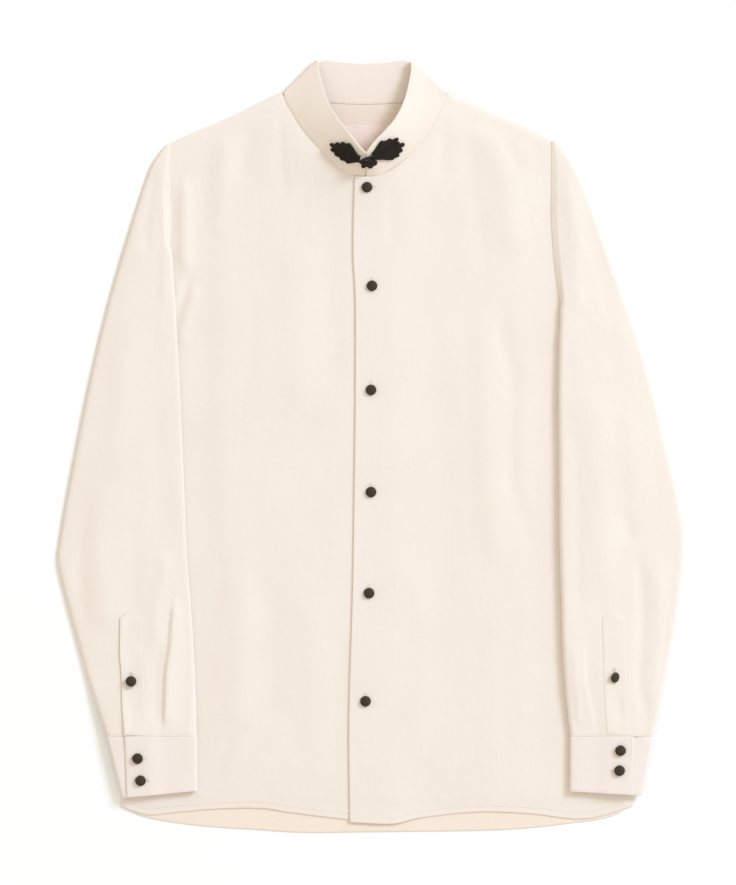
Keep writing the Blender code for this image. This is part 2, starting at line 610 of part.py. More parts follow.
def sleeve_top(side, out, y):
    """Middle height of a sleeve's upper layer."""
    outer = read_table(SLEEVE[side], y, 1)
    inner = read_table(SLEEVE[side], y, 2)
    share = (out - inner) / max(1.0, outer - inner)
    low = read_table(SLEEVE_HEIGHT[side], y, 1)
    high = read_table(SLEEVE_HEIGHT[side], y, 2)
    room = step_up((outer - inner) / DOME_WIDTH) * step_up((y - SLEEVE_END_Y) / DOME_END_RUN)
    dome = SLEEVE_DOME * room * 4 * share * (1 - share)
    folds = fold_height(out, y, SLEEVE_FOLDS[side]) * step_up((y - SLEEVE_END_Y + 2) / FOLD_END_RUN)
    folds *= step_up(share / EDGE_SHARE) * step_up((1 - share) / EDGE_SHARE)
    return low + (high - low) * share + dome + folds


def sleeve_row(side, y):
    """One row of a sleeve: flap over the armhole seam, inner edge, upper layer, outer edge, lower layer."""
    outer = read_table(SLEEVE[side], y, 1)
    inner = read_table(SLEEVE[side], y, 2)
    bend = min(SLEEVE_BEND, BEND_SHARE * (outer - inner))
    hole_line = smooth_curve(ARMHOLE[side], 4.0)
    hole = float(np.interp(-y, -hole_line[:, 1], np.abs(hole_line[:, 0])))
    side_line = smooth_curve(SIDE[side], 10.0)
    body = float(np.interp(-y, -side_line[:, 1], np.abs(side_line[:, 0])))
    rise = step_up((CUFF_RISE_Y - y) / CUFF_RISE_RUN)
    floor = CLOTH / 2 + (CUFF_LOW - CLOTH / 2) * rise
    laid = SLEEVE_LOW + (CUFF_LOW - SLEEVE_LOW) * rise
    high_inner = sleeve_top(side, inner + bend, y)
    high_outer = sleeve_top(side, outer - bend, y)
    folded = y < FOLD_START_Y[side]
    closed = y <= UNDERARM_Y
    if closed:
        laid += FLAP_RISE * step_up((y - FLAP_RISE_Y) / FLAP_RISE_RUN)
    upper = [(inner + bend, high_inner - INNER_EDGE_DROP * bend / SLEEVE_BEND)]
    for share in np.linspace(0, 1, 8)[1:-1]:
        out = inner + bend + (outer - inner - 2 * bend) * share
        upper.append((out, sleeve_top(side, out, y)))
    upper.append((outer - bend, high_outer - OUTER_EDGE_DROP * bend / SLEEVE_BEND))
    edge_outer = [(outer, (high_outer + floor) / 2)]
    if folded:
        edge_inner = [(inner, (high_inner + laid) / 2)]
    else:
        edge_inner = [(hole - SEAM_INSET, SLEEVE_LOW)]
    if closed:
        join = (body - UNDERARM_INSET, laid)
        ramp = (body + RAMP_OUT, max(floor, float(np.interp(y, *zip(*RAMP_HEIGHT)))))
        middle = (inner + join[0]) / 2
        foot = min(body + FOOT_OUT, outer - bend - 3)
        if y == UNDERARM_Y:
            middle = join[0]
            join = (UNDERARM_OUT[side], UNDERARM_HEIGHT)
            ramp = ((foot + join[0]) / 2, UNDERARM_RAMP_HEIGHT)
        lower = [(outer - bend, floor), ((outer - bend + foot) / 2, floor), (foot, floor), ramp, join]
        flap = [join, (middle, laid), (inner + bend, laid)]
    else:
        seam = hole + BUTT
        spread = [outer - bend + (seam - outer + bend) * k / 4 for k in range(5)]
        lower = [(out, floor) for out in spread]
        start = hole - SEAM_INSET
        flap = [(start, laid), (inner + (start - inner) * 0.66, laid), (inner + (start - inner) * 0.33, laid)]
        if folded and start - inner > 3 * bend:
            flap[2] = (inner + bend, laid)
            flap[1] = ((start + inner + bend) / 2, laid)
    return {"flap": flap if folded else [], "main": edge_inner + upper + edge_outer + lower, "closed": closed}


def make_sleeve(side):
    """A sleeve: one sheet that folds at its inner and outer edges and closes to a tube below the underarm."""
    end_rows = list(np.arange(SLEEVE_ROWS[side][-1] - SLEEVE_ROW_STEP, SLEEVE_END_Y + 14, -SLEEVE_ROW_STEP))
    ys = SLEEVE_ROWS[side] + end_rows + [SLEEVE_END_Y]
    places = []
    rows = []
    for y in ys:
        row = sleeve_row(side, y)
        main = []
        for out, z in row["main"]:
            main.append(len(places))
            places.append((side * out, y, z))
        flap = []
        for k, (out, z) in enumerate(row["flap"]):
            if k == 0 and row["closed"]:
                flap.append(main[-1])
                continue
            flap.append(len(places))
            places.append((side * out, y, z))
        rows.append((flap, main))
    faces = []
    for (flap_a, main_a), (flap_b, main_b) in zip(rows, rows[1:]):
        for k in range(len(main_a) - 1):
            faces.append([main_a[k], main_a[k + 1], main_b[k + 1], main_b[k]])
        if flap_a:
            whole_a = flap_a + [main_a[0]]
            whole_b = flap_b + [main_b[0]]
            for k in range(len(whole_a) - 1):
                faces.append([whole_a[k], whole_a[k + 1], whole_b[k + 1], whole_b[k]])
    name = "sleeve_right" if side == RIGHT else "sleeve_left"
    mesh = surface_mesh(name, places, faces)
    add_solid(name, mesh, CREAM, wall=CLOTH)


def cuff_path(side, share):
    """One row round a cuff, from the end that shows on top to the end hidden under it: out and z."""
    shape = CUFF[side]
    outer, inner, lap = (a + (b - a) * share for a, b in (shape["outer"], shape["inner"], shape["lap"]))
    radius = (CUFF_HIGH - CUFF_LOW) / 2
    middle = (CUFF_HIGH + CUFF_LOW) / 2
    step = lap - CUFF_OVERLAP - 2.5
    path = [(lap, CUFF_OVER), (lap - 13, CUFF_OVER), (step, CUFF_OVER), (step - CUFF_STEP, CUFF_HIGH)]
    turn = [(radius * math.cos(a), radius * math.sin(a)) for a in np.radians((90, 45, 0, -45, -90))]
    path += [(inner + radius - c, middle + s) for c, s in turn]
    path += [((inner + outer) / 2, CUFF_LOW)]
    path += [(outer - radius + c, middle + s) for c, s in turn[::-1]]
    path += [(lap - CUFF_OVERLAP, CUFF_HIGH)]
    return path


def make_cuff(side):
    """A buttoned cuff: one fused strip, flattened, with its ends lapped."""
    places = []
    faces = []
    shape = CUFF[side]
    rows = 4
    for row in range(rows):
        share = row / (rows - 1)
        path = cuff_path(side, share)
        outer = shape["outer"][0] + (shape["outer"][1] - shape["outer"][0]) * share
        inner = shape["inner"][0] + (shape["inner"][1] - shape["inner"][0]) * share
        for out, z in path:
            low = np.interp(out, [inner, outer], [shape["bottom"][1], shape["bottom"][0]])
            places.append((side * out, CUFF_TOP_Y + (low - CUFF_TOP_Y) * share, z))
    count = len(path)
    for row in range(rows - 1):
        for k in range(count - 1):
            a = row * count + k
            faces.append([a, a + 1, a + count + 1, a + count])
    name = "cuff_right" if side == RIGHT else "cuff_left"
    mesh = surface_mesh(name, places, faces)
    add_solid(name, mesh, CREAM, wall=FUSED)


def make_sleeve_placket(side):
    """The strip over a sleeve's slit, made from the sleeve's surface moved out."""
    edge = smooth_curve(PLACKET[side], 15.0)
    outer = [(side * out, y) for y, out in edge]
    inner = [(side * (out - PLACKET_WIDTH), y) for y, out in edge[::-1]]
    top = [(side * (edge[0][1] - PLACKET_WIDTH / 2), edge[0][0] + PLACKET_POINT)]
    outline = join_outline(outer, inner, top)

    def place(x, y):
        return (x, y, sleeve_top(side, abs(x), max(y, SLEEVE_END_Y)) + PLACKET_LIFT)

    places, faces = cut_piece(outline, place, 10.0)
    name = "sleeve_placket_right" if side == RIGHT else "sleeve_placket_left"
    add_solid(name, surface_mesh(name, places, faces), CREAM, wall=CLOTH)


# Trim


def make_label():
    """The plain woven label inside the back of the neck."""
    mesh = bpy.data.meshes.new("neck_label")
    form = bmesh.new()
    bmesh.ops.create_cube(form, size=1.0)
    x0, x1 = LABEL["x"]
    y0, y1 = LABEL["y"]
    bmesh.ops.scale(form, vec=((x1 - x0) * MM, (y1 - y0) * MM, LABEL_WALL * MM), verts=form.verts)
    form.to_mesh(mesh)
    form.free()
    label = add_solid("neck_label", mesh, PALE_PINK, 0.6, smooth=False)
    label.location = ((x0 + x1) / 2 * MM, (y0 + y1) / 2 * MM, (CLOTH + SEAM + LABEL_WALL / 2) * MM)


def wing_outline(side):
    """A corded leaf: half widths along its length, with a scalloped rim."""
    wing = FROG_WINGS[side]
    root = np.array(wing["root"])
    along = np.array(wing["tip"]) - root
    across = np.array([-along[1], along[0]]) / np.linalg.norm(along)
    shares, halves = np.array(WING_SHAPE).T
    upper = []
    lower = []
    for share in np.linspace(0.0, 1.0, 37):
        half = np.interp(share, shares, halves)
        depth = WING_LOBE_DEPTH * step_up(share / WING_LOBE_START)
        scallop = depth * (abs(math.sin(math.pi * WING_LOBES * share)) - 1)
        upper.append(root + along * share + across * (half + scallop))
        lower.append(root + along * share - across * (half + scallop))
    tip = [root + along * WING_TIP]
    return join_outline(upper, tip, lower[::-1])


def make_frog(collar):
    """The frog: two leaves on the collar's ends, made from the collar's surface moved out, and the knot."""
    form = bmesh.new()
    form.from_mesh(collar.data)
    surface = BVHTree.FromBMesh(form)
    form.free()
    away = FUSED / 2 + SEAM + FROG_EASE

    def on_collar(x, y, lift):
        hit, normal, _, _ = surface.ray_cast(Vector((x, y, RAY_FROM_Z)) * MM, Vector((0, 0, -1)))
        return (hit + normal * lift * MM) / MM

    for side in (RIGHT, LEFT):
        places, faces = cut_piece(
            wing_outline(side), lambda x, y: tuple(on_collar(x, y, away + WING_WALL / 2)), 5.0)
        name = "frog_wing_right" if side == RIGHT else "frog_wing_left"
        add_solid(name, surface_mesh(name, places, faces), BLACK_CORD, 0.7, wall=WING_WALL)
    mesh = bpy.data.meshes.new("frog_knot")
    form = bmesh.new()
    bmesh.ops.create_uvsphere(form, u_segments=14, v_segments=9, radius=0.5)
    bmesh.ops.scale(form, vec=[s * MM for s in KNOT["size"]], verts=form.verts)
    form.to_mesh(mesh)
    form.free()
    knot = add_solid("frog_knot", mesh, BLACK_CORD, 0.5)
    x, y = KNOT["place"]
    seat = on_collar(x, y, away)
    lean = (on_collar(x, y, away + 1) - seat).normalized()
    knot.location = (seat + lean * (KNOT["size"][2] / 2 + KNOT_SEAT)) * MM
    knot.rotation_mode = "QUATERNION"
    knot.rotation_quaternion = lean.to_track_quat("Z", "Y")


def make_button(name, x, y, height, lift):
    """A domed button, seated on the cloth at a place and leaning with it."""
    mesh = bpy.data.meshes.new(name)
    r = BUTTON_RADIUS
    h = BUTTON_HEIGHT
    profile = [(0, h), (0.5 * r, 0.94 * h), (0.84 * r, 0.68 * h), (r, 0.3 * h), (0.9 * r, 0), (0, 0)]
    runs = [(k, k + 1) for k in range(len(profile) - 1)]
    mesh.from_pydata([(a * MM, 0, b * MM) for a, b in profile], runs, [])
    button = add_solid(name, mesh, DARK_BROWN, 0.35)
    turn = button.modifiers.new("turn", "SCREW")
    turn.steps = 12
    turn.render_steps = 12
    turn.use_merge_vertices = True
    turn.merge_threshold = 0.00005
    away = SLOPE_REACH
    fall = (height(x - away, y) - height(x + away, y), height(x, y - away) - height(x, y + away))
    slope = Vector((*fall, 2 * away)).normalized()
    ring = np.linspace(0, 2 * math.pi, 9)
    around = [(x + BUTTON_FOOT * math.cos(a), y + BUTTON_FOOT * math.sin(a)) for a in ring]
    seat = max(height(u, v) + (slope.x * (u - x) + slope.y * (v - y)) / slope.z for u, v in around)
    seat = max(seat, height(x, y))
    button.location = (x * MM, y * MM, (seat + lift) * MM)
    button.rotation_mode = "QUATERNION"
    button.rotation_quaternion = slope.to_track_quat("Z", "Y")


def make_buttons():
    """Six buttons down the front, two on each cuff and one on each sleeve placket."""
    for number, (x, y) in enumerate(FRONT_BUTTONS, 1):
        make_button(f"button_front_{number}", x, y, left_front_height, CLOTH / 2 + SEAM + EASE)
    for side, word in ((RIGHT, "right"), (LEFT, "left")):
        for number, (x, y) in enumerate(CUFF_BUTTONS[side], 1):
            make_button(f"button_cuff_{word}_{number}", x, y, lambda u, v: CUFF_OVER, FUSED / 2 + SEAM)
        x, y = PLACKET_BUTTONS[side]
        lift = PLACKET_LIFT + CLOTH / 2 + SEAM + EASE
        make_button(f"button_placket_{word}", x, y, lambda u, v: sleeve_top(side, abs(u), v), lift)


def main():
    clear_scene()
    make_back()
    for side in (RIGHT, LEFT):
        make_front(side)
        make_sleeve(side)
        make_cuff(side)
        make_sleeve_placket(side)
    collar = make_collar()
    make_label()
    make_frog(collar)
    make_buttons()


main()
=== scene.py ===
# %% [markdown]
# # A cream crepe shirt, laid out flat
#
# This lesson dresses a set of plain solids as a real shirt. The solids hold the true sizes: a back, two fronts,
# two sleeves that fold over the fronts, cuffs, a standing band collar, a corded frog and twelve buttons.
# We first load those solids. Nothing here moves them: every cloth piece below is a new, thinner and finer sheet
# that lies where its solid lies. Sizes are in millimetres, and MM turns them into metres at the last step.

# %% Load the solids
import math

import bmesh
import bpy
import numpy as np
from mathutils import Matrix, Vector
from mathutils.bvhtree import BVHTree
from mathutils.geometry import delaunay_2d_cdt


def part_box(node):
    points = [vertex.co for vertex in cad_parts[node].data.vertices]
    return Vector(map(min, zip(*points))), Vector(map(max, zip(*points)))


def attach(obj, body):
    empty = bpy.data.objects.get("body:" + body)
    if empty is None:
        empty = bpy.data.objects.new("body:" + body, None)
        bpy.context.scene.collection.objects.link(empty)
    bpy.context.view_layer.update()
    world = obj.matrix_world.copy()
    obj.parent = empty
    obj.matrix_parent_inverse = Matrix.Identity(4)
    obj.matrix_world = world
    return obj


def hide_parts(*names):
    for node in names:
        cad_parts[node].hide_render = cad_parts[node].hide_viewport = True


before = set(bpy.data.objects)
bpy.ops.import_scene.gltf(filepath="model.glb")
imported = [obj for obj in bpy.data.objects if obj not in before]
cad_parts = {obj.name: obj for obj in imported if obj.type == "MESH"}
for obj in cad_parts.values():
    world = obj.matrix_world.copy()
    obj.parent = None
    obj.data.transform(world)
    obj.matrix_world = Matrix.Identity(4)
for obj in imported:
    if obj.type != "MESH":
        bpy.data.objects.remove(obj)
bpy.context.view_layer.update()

MM = 0.001
RIGHT, LEFT = -1, 1          # sign of X on the wearer's right and left
WORD = {RIGHT: "right", LEFT: "left"}

# %% [markdown]
# ## The camera
#
# A flat-laid garment is photographed from straight above. One pixel of the picture is one millimetre on the
# floor, so the lens follows from the camera's height and the picture's 885 pixels. A long distance keeps the
# collar and the cuffs, which stand up, from leaning outwards in the picture.

# %% Camera
CAMERA_HEIGHT = 6000.0
PICTURE_HEIGHT = 885.0
PICTURE_MIDDLE = (-3.5, 3.0)
SENSOR = 36.0

lens = bpy.data.cameras.new("overhead_camera")
lens.sensor_width = SENSOR
lens.lens = SENSOR * CAMERA_HEIGHT / PICTURE_HEIGHT
camera = bpy.data.objects.new("overhead_camera", lens)
camera.location = (PICTURE_MIDDLE[0] * MM, PICTURE_MIDDLE[1] * MM, CAMERA_HEIGHT * MM)
bpy.context.scene.collection.objects.link(camera)
bpy.context.scene.camera = camera
print("lens:", round(lens.lens, 1), "mm")

# %% [markdown]
# ## Floor and light
#
# The shirt lies on a white table under a large lamp, which stands low to the upper right. A low lamp draws every
# soft fold, and it throws the narrow shadows along the sleeve, the cuffs and the raised collar. A bright, even
# surround gives most of the light, so those shadows stay pale. The surround is a little warm and the lamp a
# little cool: where both fall the table is white, and in the shadows only the warm one is left, as in the
# photograph. The plain "Standard" view keeps the cream clean.

# %% Floor and light
LAMP_TURN = math.radians(36)      # round from +X towards the collar
LAMP_RISE = math.radians(34)
LAMP_AWAY = 8.0                   # metres
LAMP_SIZE = 2.4
LAMP_POWER = 350.0
LAMP_COLOUR = (0.85, 1.03, 1.30)
SURROUND = 0.83
SURROUND_COLOUR = (1.05, 0.985, 0.885)
FLOOR_SIZE = 8.0


def plain_finish(name, colour, roughness):
    """A finish with one Principled surface and its constants set straight on the sockets."""
    finish = bpy.data.materials.new(name)
    finish.use_nodes = True
    surface = finish.node_tree.nodes["Principled BSDF"]
    surface.inputs["Base Color"].default_value = (*colour, 1)
    surface.inputs["Roughness"].default_value = roughness
    return finish, finish.node_tree, surface


table_mesh = bpy.data.meshes.new("table")
form = bmesh.new()
bmesh.ops.create_grid(form, x_segments=1, y_segments=1, size=FLOOR_SIZE / 2)
form.to_mesh(table_mesh)
form.free()
table_finish, _, _ = plain_finish("white_table", (0.93, 0.93, 0.92), 0.8)
table_mesh.materials.append(table_finish)
table = bpy.data.objects.new("table", table_mesh)
table.location.z = -0.1 * MM
bpy.context.scene.collection.objects.link(table)

lamp_data = bpy.data.lights.new("lamp", "AREA")
lamp_data.size = LAMP_SIZE
lamp_data.energy = LAMP_POWER
lamp_data.color = LAMP_COLOUR
lamp = bpy.data.objects.new("lamp", lamp_data)
toward = Vector((
    math.cos(LAMP_RISE) * math.cos(LAMP_TURN), math.cos(LAMP_RISE) * math.sin(LAMP_TURN), math.sin(LAMP_RISE)))
lamp.location = toward * LAMP_AWAY
lamp.rotation_euler = toward.to_track_quat("Z", "Y").to_euler()
bpy.context.scene.collection.objects.link(lamp)

surround = bpy.data.worlds.new("surround")
surround.use_nodes = True
surround.node_tree.nodes["Background"].inputs["Color"].default_value = (*SURROUND_COLOUR, 1)
surround.node_tree.nodes["Background"].inputs["Strength"].default_value = SURROUND
bpy.context.scene.world = surround
bpy.context.scene.view_settings.view_transform = "Standard"
print("lamp at", [round(c, 2) for c in lamp.location])

# %% [markdown]
# ## Finishes
#
# The cloth is a matt crepe: tightly twisted yarns give it a pebbled grain of about half a millimetre, with faint
# slubs along the warp. A picture of cloth would blur from close by, so the grain is built from noise and wave
# textures. They read the UV map "cut", which holds each piece's flat pattern in metres, so that the warp runs
# down a sleeve as it does on the real one. Two tones a shade apart keep the cream from looking painted. The
# fused cuffs are a little pinker and the collar a little yellower. The back, of which only the inside shows, is
# a little darker and yellower, which is painted shade: the tone of its inside where it lies in shade inside the
# neck and below the front hem.
#
# The helper below adds one shader node and fills its sockets. A value that is another node's output becomes a
# link. Constants of the surface itself, such as sheen, go straight on the Principled node.


# %% Cloth finish
def put(tree, kind, values, **settings):
    """Adds a shader node with its settings, and fills sockets by name or number."""
    step = tree.nodes.new(kind)
    for name, value in settings.items():
        setattr(step, name, value)
    for key, value in values.items():
        if isinstance(value, bpy.types.NodeSocket):
            tree.links.new(value, step.inputs[key])
        else:
            step.inputs[key].default_value = value
    return step


def crepe(name, light, shade, grain_depth, sheen):
    """Matt crepe cloth: pebbled grain over a fine plain weave, slubs along the warp and two near tones."""
    finish, tree, surface = plain_finish(name, light, 0.86)
    surface.inputs["Sheen Weight"].default_value = sheen
    surface.inputs["Sheen Roughness"].default_value = 0.45
    surface.inputs["Specular IOR Level"].default_value = 0.22
    cut = put(tree, "ShaderNodeUVMap", {}, uv_map="cut").outputs["UV"]
    along = put(tree, "ShaderNodeMapping", {"Vector": cut, "Scale": (1.0, 0.05, 1.0)}).outputs["Vector"]
    pebbles = put(tree, "ShaderNodeTexNoise", {"Vector": cut, "Scale": 1500.0, "Detail": 2.0})
    warp = put(tree, "ShaderNodeTexWave", {"Vector": cut, "Scale": 700.0, "Distortion": 1.2}, bands_direction="X")
    weft = put(tree, "ShaderNodeTexWave", {"Vector": cut, "Scale": 640.0, "Distortion": 1.2}, bands_direction="Y")
    slub = put(tree, "ShaderNodeTexNoise", {"Vector": along, "Scale": 420.0, "Detail": 1.0})
    cloud = put(tree, "ShaderNodeTexNoise", {"Vector": cut, "Scale": 14.0, "Detail": 3.0})
    crinkle = put(tree, "ShaderNodeTexNoise", {"Vector": cut, "Scale": 130.0, "Detail": 2.0})
    weave = put(tree, "ShaderNodeMath", {0: warp.outputs["Fac"], 1: weft.outputs["Fac"]}, operation="MULTIPLY")
    grain = put(tree, "ShaderNodeMath", {0: weave.outputs[0], 1: 0.35, 2: pebbles.outputs["Fac"]},
                operation="MULTIPLY_ADD")
    tone = put(tree, "ShaderNodeMath", {0: slub.outputs["Fac"], 1: 0.35, 2: cloud.outputs["Fac"]},
               operation="MULTIPLY_ADD")
    spread = put(tree, "ShaderNodeMapRange", {"Value": tone.outputs[0], "From Min": 0.35, "From Max": 1.0})
    mix = put(tree, "ShaderNodeMix", {0: spread.outputs[0], 6: (*light, 1), 7: (*shade, 1)}, data_type="RGBA")
    soft = put(tree, "ShaderNodeBump", {"Height": crinkle.outputs["Fac"], "Strength": 0.35, "Distance": 0.0006})
    fine = put(tree, "ShaderNodeBump", {"Height": grain.outputs[0], "Strength": 0.5, "Distance": grain_depth,
                                        "Normal": soft.outputs["Normal"]})
    tree.links.new(mix.outputs[2], surface.inputs["Base Color"])
    tree.links.new(fine.outputs["Normal"], surface.inputs["Normal"])
    return finish


CREAM = (0.838, 0.762, 0.689)
CREAM_SHADE = (0.812, 0.730, 0.647)
BAND_CREAM = (0.838, 0.755, 0.702)
BAND_SHADE = (0.816, 0.730, 0.670)
COLLAR_CREAM = (0.838, 0.746, 0.660)
COLLAR_SHADE = (0.818, 0.720, 0.630)
# The back's two tones are darker and yellower than the cream: painted shade, the tone of its inside where it lies in
# shade.
INSIDE_CREAM_WITH_PAINTED_SHADE = (0.860, 0.745, 0.645)
INSIDE_SECOND_TONE_WITH_PAINTED_SHADE = (0.838, 0.718, 0.612)

crepe_finish = crepe("cream_crepe", CREAM, CREAM_SHADE, 0.00012, 0.12)
band_finish = crepe("fused_crepe", BAND_CREAM, BAND_SHADE, 0.00009, 0.10)
collar_finish = crepe("collar_crepe", COLLAR_CREAM, COLLAR_SHADE, 0.00009, 0.10)
inside_finish = crepe("inside_of_crepe", INSIDE_CREAM_WITH_PAINTED_SHADE, INSIDE_SECOND_TONE_WITH_PAINTED_SHADE, 0.00012, 0.12)
print("cloth finishes:", [finish.name for finish in (crepe_finish, band_finish, collar_finish, inside_finish)])

# %% [markdown]
# ## Dark trim, thread and label
#
# The frog is wrapped in black silk cord, whose fine turns catch a dull shine. The buttons are covered with dark
# brown satin, stretched smooth over a dome. The label is a plain pink ribbon with its own tiny weave. These
# three read Object coordinates, which is safe because each finished piece lies unturned at the origin.


# %% Trim finishes
def trim_finish(name, colour, other, roughness, sheen, ribs, depth):
    """A fine threaded surface: two tones and ribs in three directions, on Object coordinates."""
    finish, tree, surface = plain_finish(name, colour, roughness)
    surface.inputs["Sheen Weight"].default_value = sheen
    surface.inputs["Specular IOR Level"].default_value = 0.2
    place = put(tree, "ShaderNodeTexCoord", {}).outputs["Object"]
    turned = put(tree, "ShaderNodeMapping", {"Vector": place, "Rotation": (0.3, 0.5, 0.8)}).outputs["Vector"]
    rib = put(tree, "ShaderNodeTexWave", {"Vector": turned, "Scale": ribs, "Distortion": 2.0, "Detail": 1.0})
    fluff = put(tree, "ShaderNodeTexNoise", {"Vector": place, "Scale": ribs * 3.0, "Detail": 2.0})
    both = put(tree, "ShaderNodeMath", {0: rib.outputs["Fac"], 1: fluff.outputs["Fac"]}, operation="ADD")
    mix = put(tree, "ShaderNodeMix", {0: fluff.outputs["Fac"], 6: (*colour, 1), 7: (*other, 1)}, data_type="RGBA")
    bump = put(tree, "ShaderNodeBump", {"Height": both.outputs[0], "Strength": 0.6, "Distance": depth})
    tree.links.new(mix.outputs[2], surface.inputs["Base Color"])
    tree.links.new(bump.outputs["Normal"], surface.inputs["Normal"])
    return finish


cord_finish = trim_finish("black_silk_cord", (0.012, 0.008, 0.004), (0.022, 0.015, 0.008), 0.60, 0.03, 900.0, 0.0002)
button_finish = trim_finish("brown_satin", (0.038, 0.027, 0.016), (0.052, 0.037, 0.022), 0.6, 0.02, 1100.0, 0.00005)
thread_finish = trim_finish("cream_thread", (0.86, 0.80, 0.71), (0.80, 0.73, 0.64), 0.6, 0.2, 2500.0, 0.00004)
label_finish = trim_finish("pink_ribbon", (0.95, 0.81, 0.74), (0.93, 0.77, 0.70), 0.5, 0.3, 1500.0, 0.00005)
print("trim finishes: 4")

# %% [markdown]
# ## Sizes of the body
#
# The outlines are the same short tables that the solids were drawn from: a row for each place where the edge
# changes direction. A smooth curve through a row of places gives as many points as a finer mesh needs. Folds are
# rows too: the places the fold passes, how far it spreads to the left and the right of the picture, and how far
# it rises, or sinks where the number is negative. A narrow spread on one side makes a crease, not a wave.

# %% Outlines
CLOTH = 0.8               # a single layer
DOUBLED = 1.4             # where the edge is turned and sewn down
FRONT_REST = 2.3
FRONT_LOFT = 1.3
RIM_START = 0.78
RIM_RUN = 4.6
BACK_INSET = 4.5
LAP = 1.45
UNDERLAP_X = 16.0
STRIP_X = 18.0
STRIP_RUN = 42.0
NECK_REACH = 34.0
SEAM_GAP = 0.12           # between two edges that are sewn to each other
NECK_TUCK = 0.15          # the fronts' neck edge lies this far outside the collar's seam
HEM = 7.0
HEM_PRESS = 0.55          # how much closer the pressed hem lies to the back
NECK_DROP = 0.1           # how much the neck edge dips at the collar's seam

SHOULDER = {
    RIGHT: [(-88.3, 352.9), (-145.0, 326.5), (-186.5, 309.0), (-201.5, 301.5)],
    LEFT: [(75.5, 353.7), (142.5, 323.5), (172.0, 310.0), (181.8, 305.0)],
}
ARMHOLE = {
    RIGHT: [(-201.5, 301.5), (-204.0, 280.0), (-203.0, 258.0), (-202.2, 215.0), (-206.0, 185.0),
            (-211.5, 152.0), (-223.0, 116.0), (-238.0, 85.0), (-252.5, 68.0)],
    LEFT: [(181.8, 305.0), (181.5, 282.0), (181.5, 260.0), (182.0, 215.0), (188.0, 155.0),
           (203.0, 114.0), (226.0, 87.0), (251.0, 68.0)],
}
SIDE = {
    RIGHT: [(-252.5, 68.0), (-251.0, 0.0), (-250.5, -160.0), (-250.8, -300.0), (-250.5, -360.5)],
    LEFT: [(251.0, 68.0), (255.0, 0.0), (259.5, -160.0), (261.5, -300.0), (261.5, -360.0)],
}
FRONT_HEM = {
    RIGHT: [(-250.5, -360.5), (-224.5, -369.0), (-199.5, -367.0), (-153.5, -363.1), (-111.5, -362.5),
            (-79.5, -367.0), (-21.5, -374.0), (UNDERLAP_X, -376.0)],
    LEFT: [(261.5, -360.0), (229.0, -370.5), (201.5, -373.0), (159.5, -368.0), (105.5, -366.2),
           (49.5, -372.0), (21.5, -378.0), (-21.5, -376.5)],
}
BACK_HEM = [(-250.5, -361.0), (-224.5, -371.5), (-174.5, -379.5), (-111.5, -384.0), (-65.5, -386.6),
            (4.5, -386.0), (88.5, -385.0), (128.5, -384.0), (164.5, -381.5), (201.5, -377.0),
            (235.5, -372.0), (261.5, -361.0)]
BACK_NECK = [(-87.0, 352.5), (-71.5, 346.5), (-41.5, 342.5), (-6.5, 341.0), (28.5, 342.5), (58.5, 346.5),
             (74.0, 353.0)]
LEFT_EDGE = [(-21.5, -376.5), (-22.5, -291.5), (-21.5, -235.5), (-18.5, -136.5), (-17.0, -38.5),
             (-16.0, 45.5), (-16.0, 145.5), (-18.3, 195.5), (-16.8, 269.0)]
NECK_SEAM = {
    RIGHT: [(-5.9, 268.8), (-18.0, 270.0), (-32.0, 278.0), (-48.0, 293.0), (-62.0, 307.5), (-74.0, 323.5),
            (-82.5, 338.0), (-86.5, 347.0)],
    LEFT: [(-5.0, 268.8), (6.0, 269.5), (18.0, 274.5), (33.5, 286.0), (46.0, 299.0), (57.0, 313.5),
           (66.0, 329.0), (73.5, 346.0)],
}

# %% Folds of the fronts
FRONT_FOLDS = [
    ([(-166, 308), (-174, 280), (-178, 256), (-181, 228), (-186, 205)], 7, 7, -0.9),
    ([(-119, 321), (-127, 290), (-129, 264)], 8, 8, -0.8),
    ([(-146, 316), (-150, 285), (-154, 250), (-158, 205)], 11, 11, 1.4),
    ([(-91, 345), (-90, 300), (-90, 276), (-87, 244)], 5, 4, -0.8),
    ([(-43, 236), (-41, 150), (-38, 50)], 13, 13, -0.8),
    ([(-74, 210), (-77, 120), (-70, 20)], 18, 18, 1.0),
    ([(-119, 150), (-120, 110), (-122, 50)], 8, 6, -0.5),
    ([(-150, -110), (-162, -163), (-168, -182)], 8, 8, -0.8),
    ([(-104, -134), (-101, -225), (-96, -286)], 15, 15, -0.8),
    ([(-128, -120), (-130, -200), (-133, -290)], 13, 13, 1.3),
    ([(-141, -290), (-150, -318), (-158, -338)], 8, 7, -0.9),
    ([(-60, -150), (-56, -230), (-62, -320)], 12, 14, 0.7),
    ([(-30, -180), (-34, -250), (-40, -330)], 7, 8, -0.5),
    ([(71, 335), (72, 300), (71, 265)], 7, 7, -0.8),
    ([(19, 262), (19, 230), (20, 200)], 5, 6, -0.5),
    ([(132, 306), (142, 290), (151, 272)], 7, 7, -0.8),
    ([(104, 325), (128, 280), (137, 235), (140, 190)], 14, 14, 1.3),
    ([(96, 300), (104, 250), (110, 200), (112, 160)], 10, 8, -0.6),
    ([(130, 145), (131, 108), (142, 60), (140, -30), (160, -94), (170, -126)], 8, 8, -0.9),
    ([(112, 140), (114, 60), (118, -40), (128, -130)], 13, 13, 1.2),
    ([(66, 120), (70, 20), (74, -80), (70, -190)], 15, 12, -0.5),
    ([(48, -120), (52, -220), (46, -320)], 12, 10, 0.6),
    ([(130, -170), (122, -240), (126, -320)], 14, 10, 0.6),
    ([(155, -326), (178, -355)], 8, 8, -0.8),
]
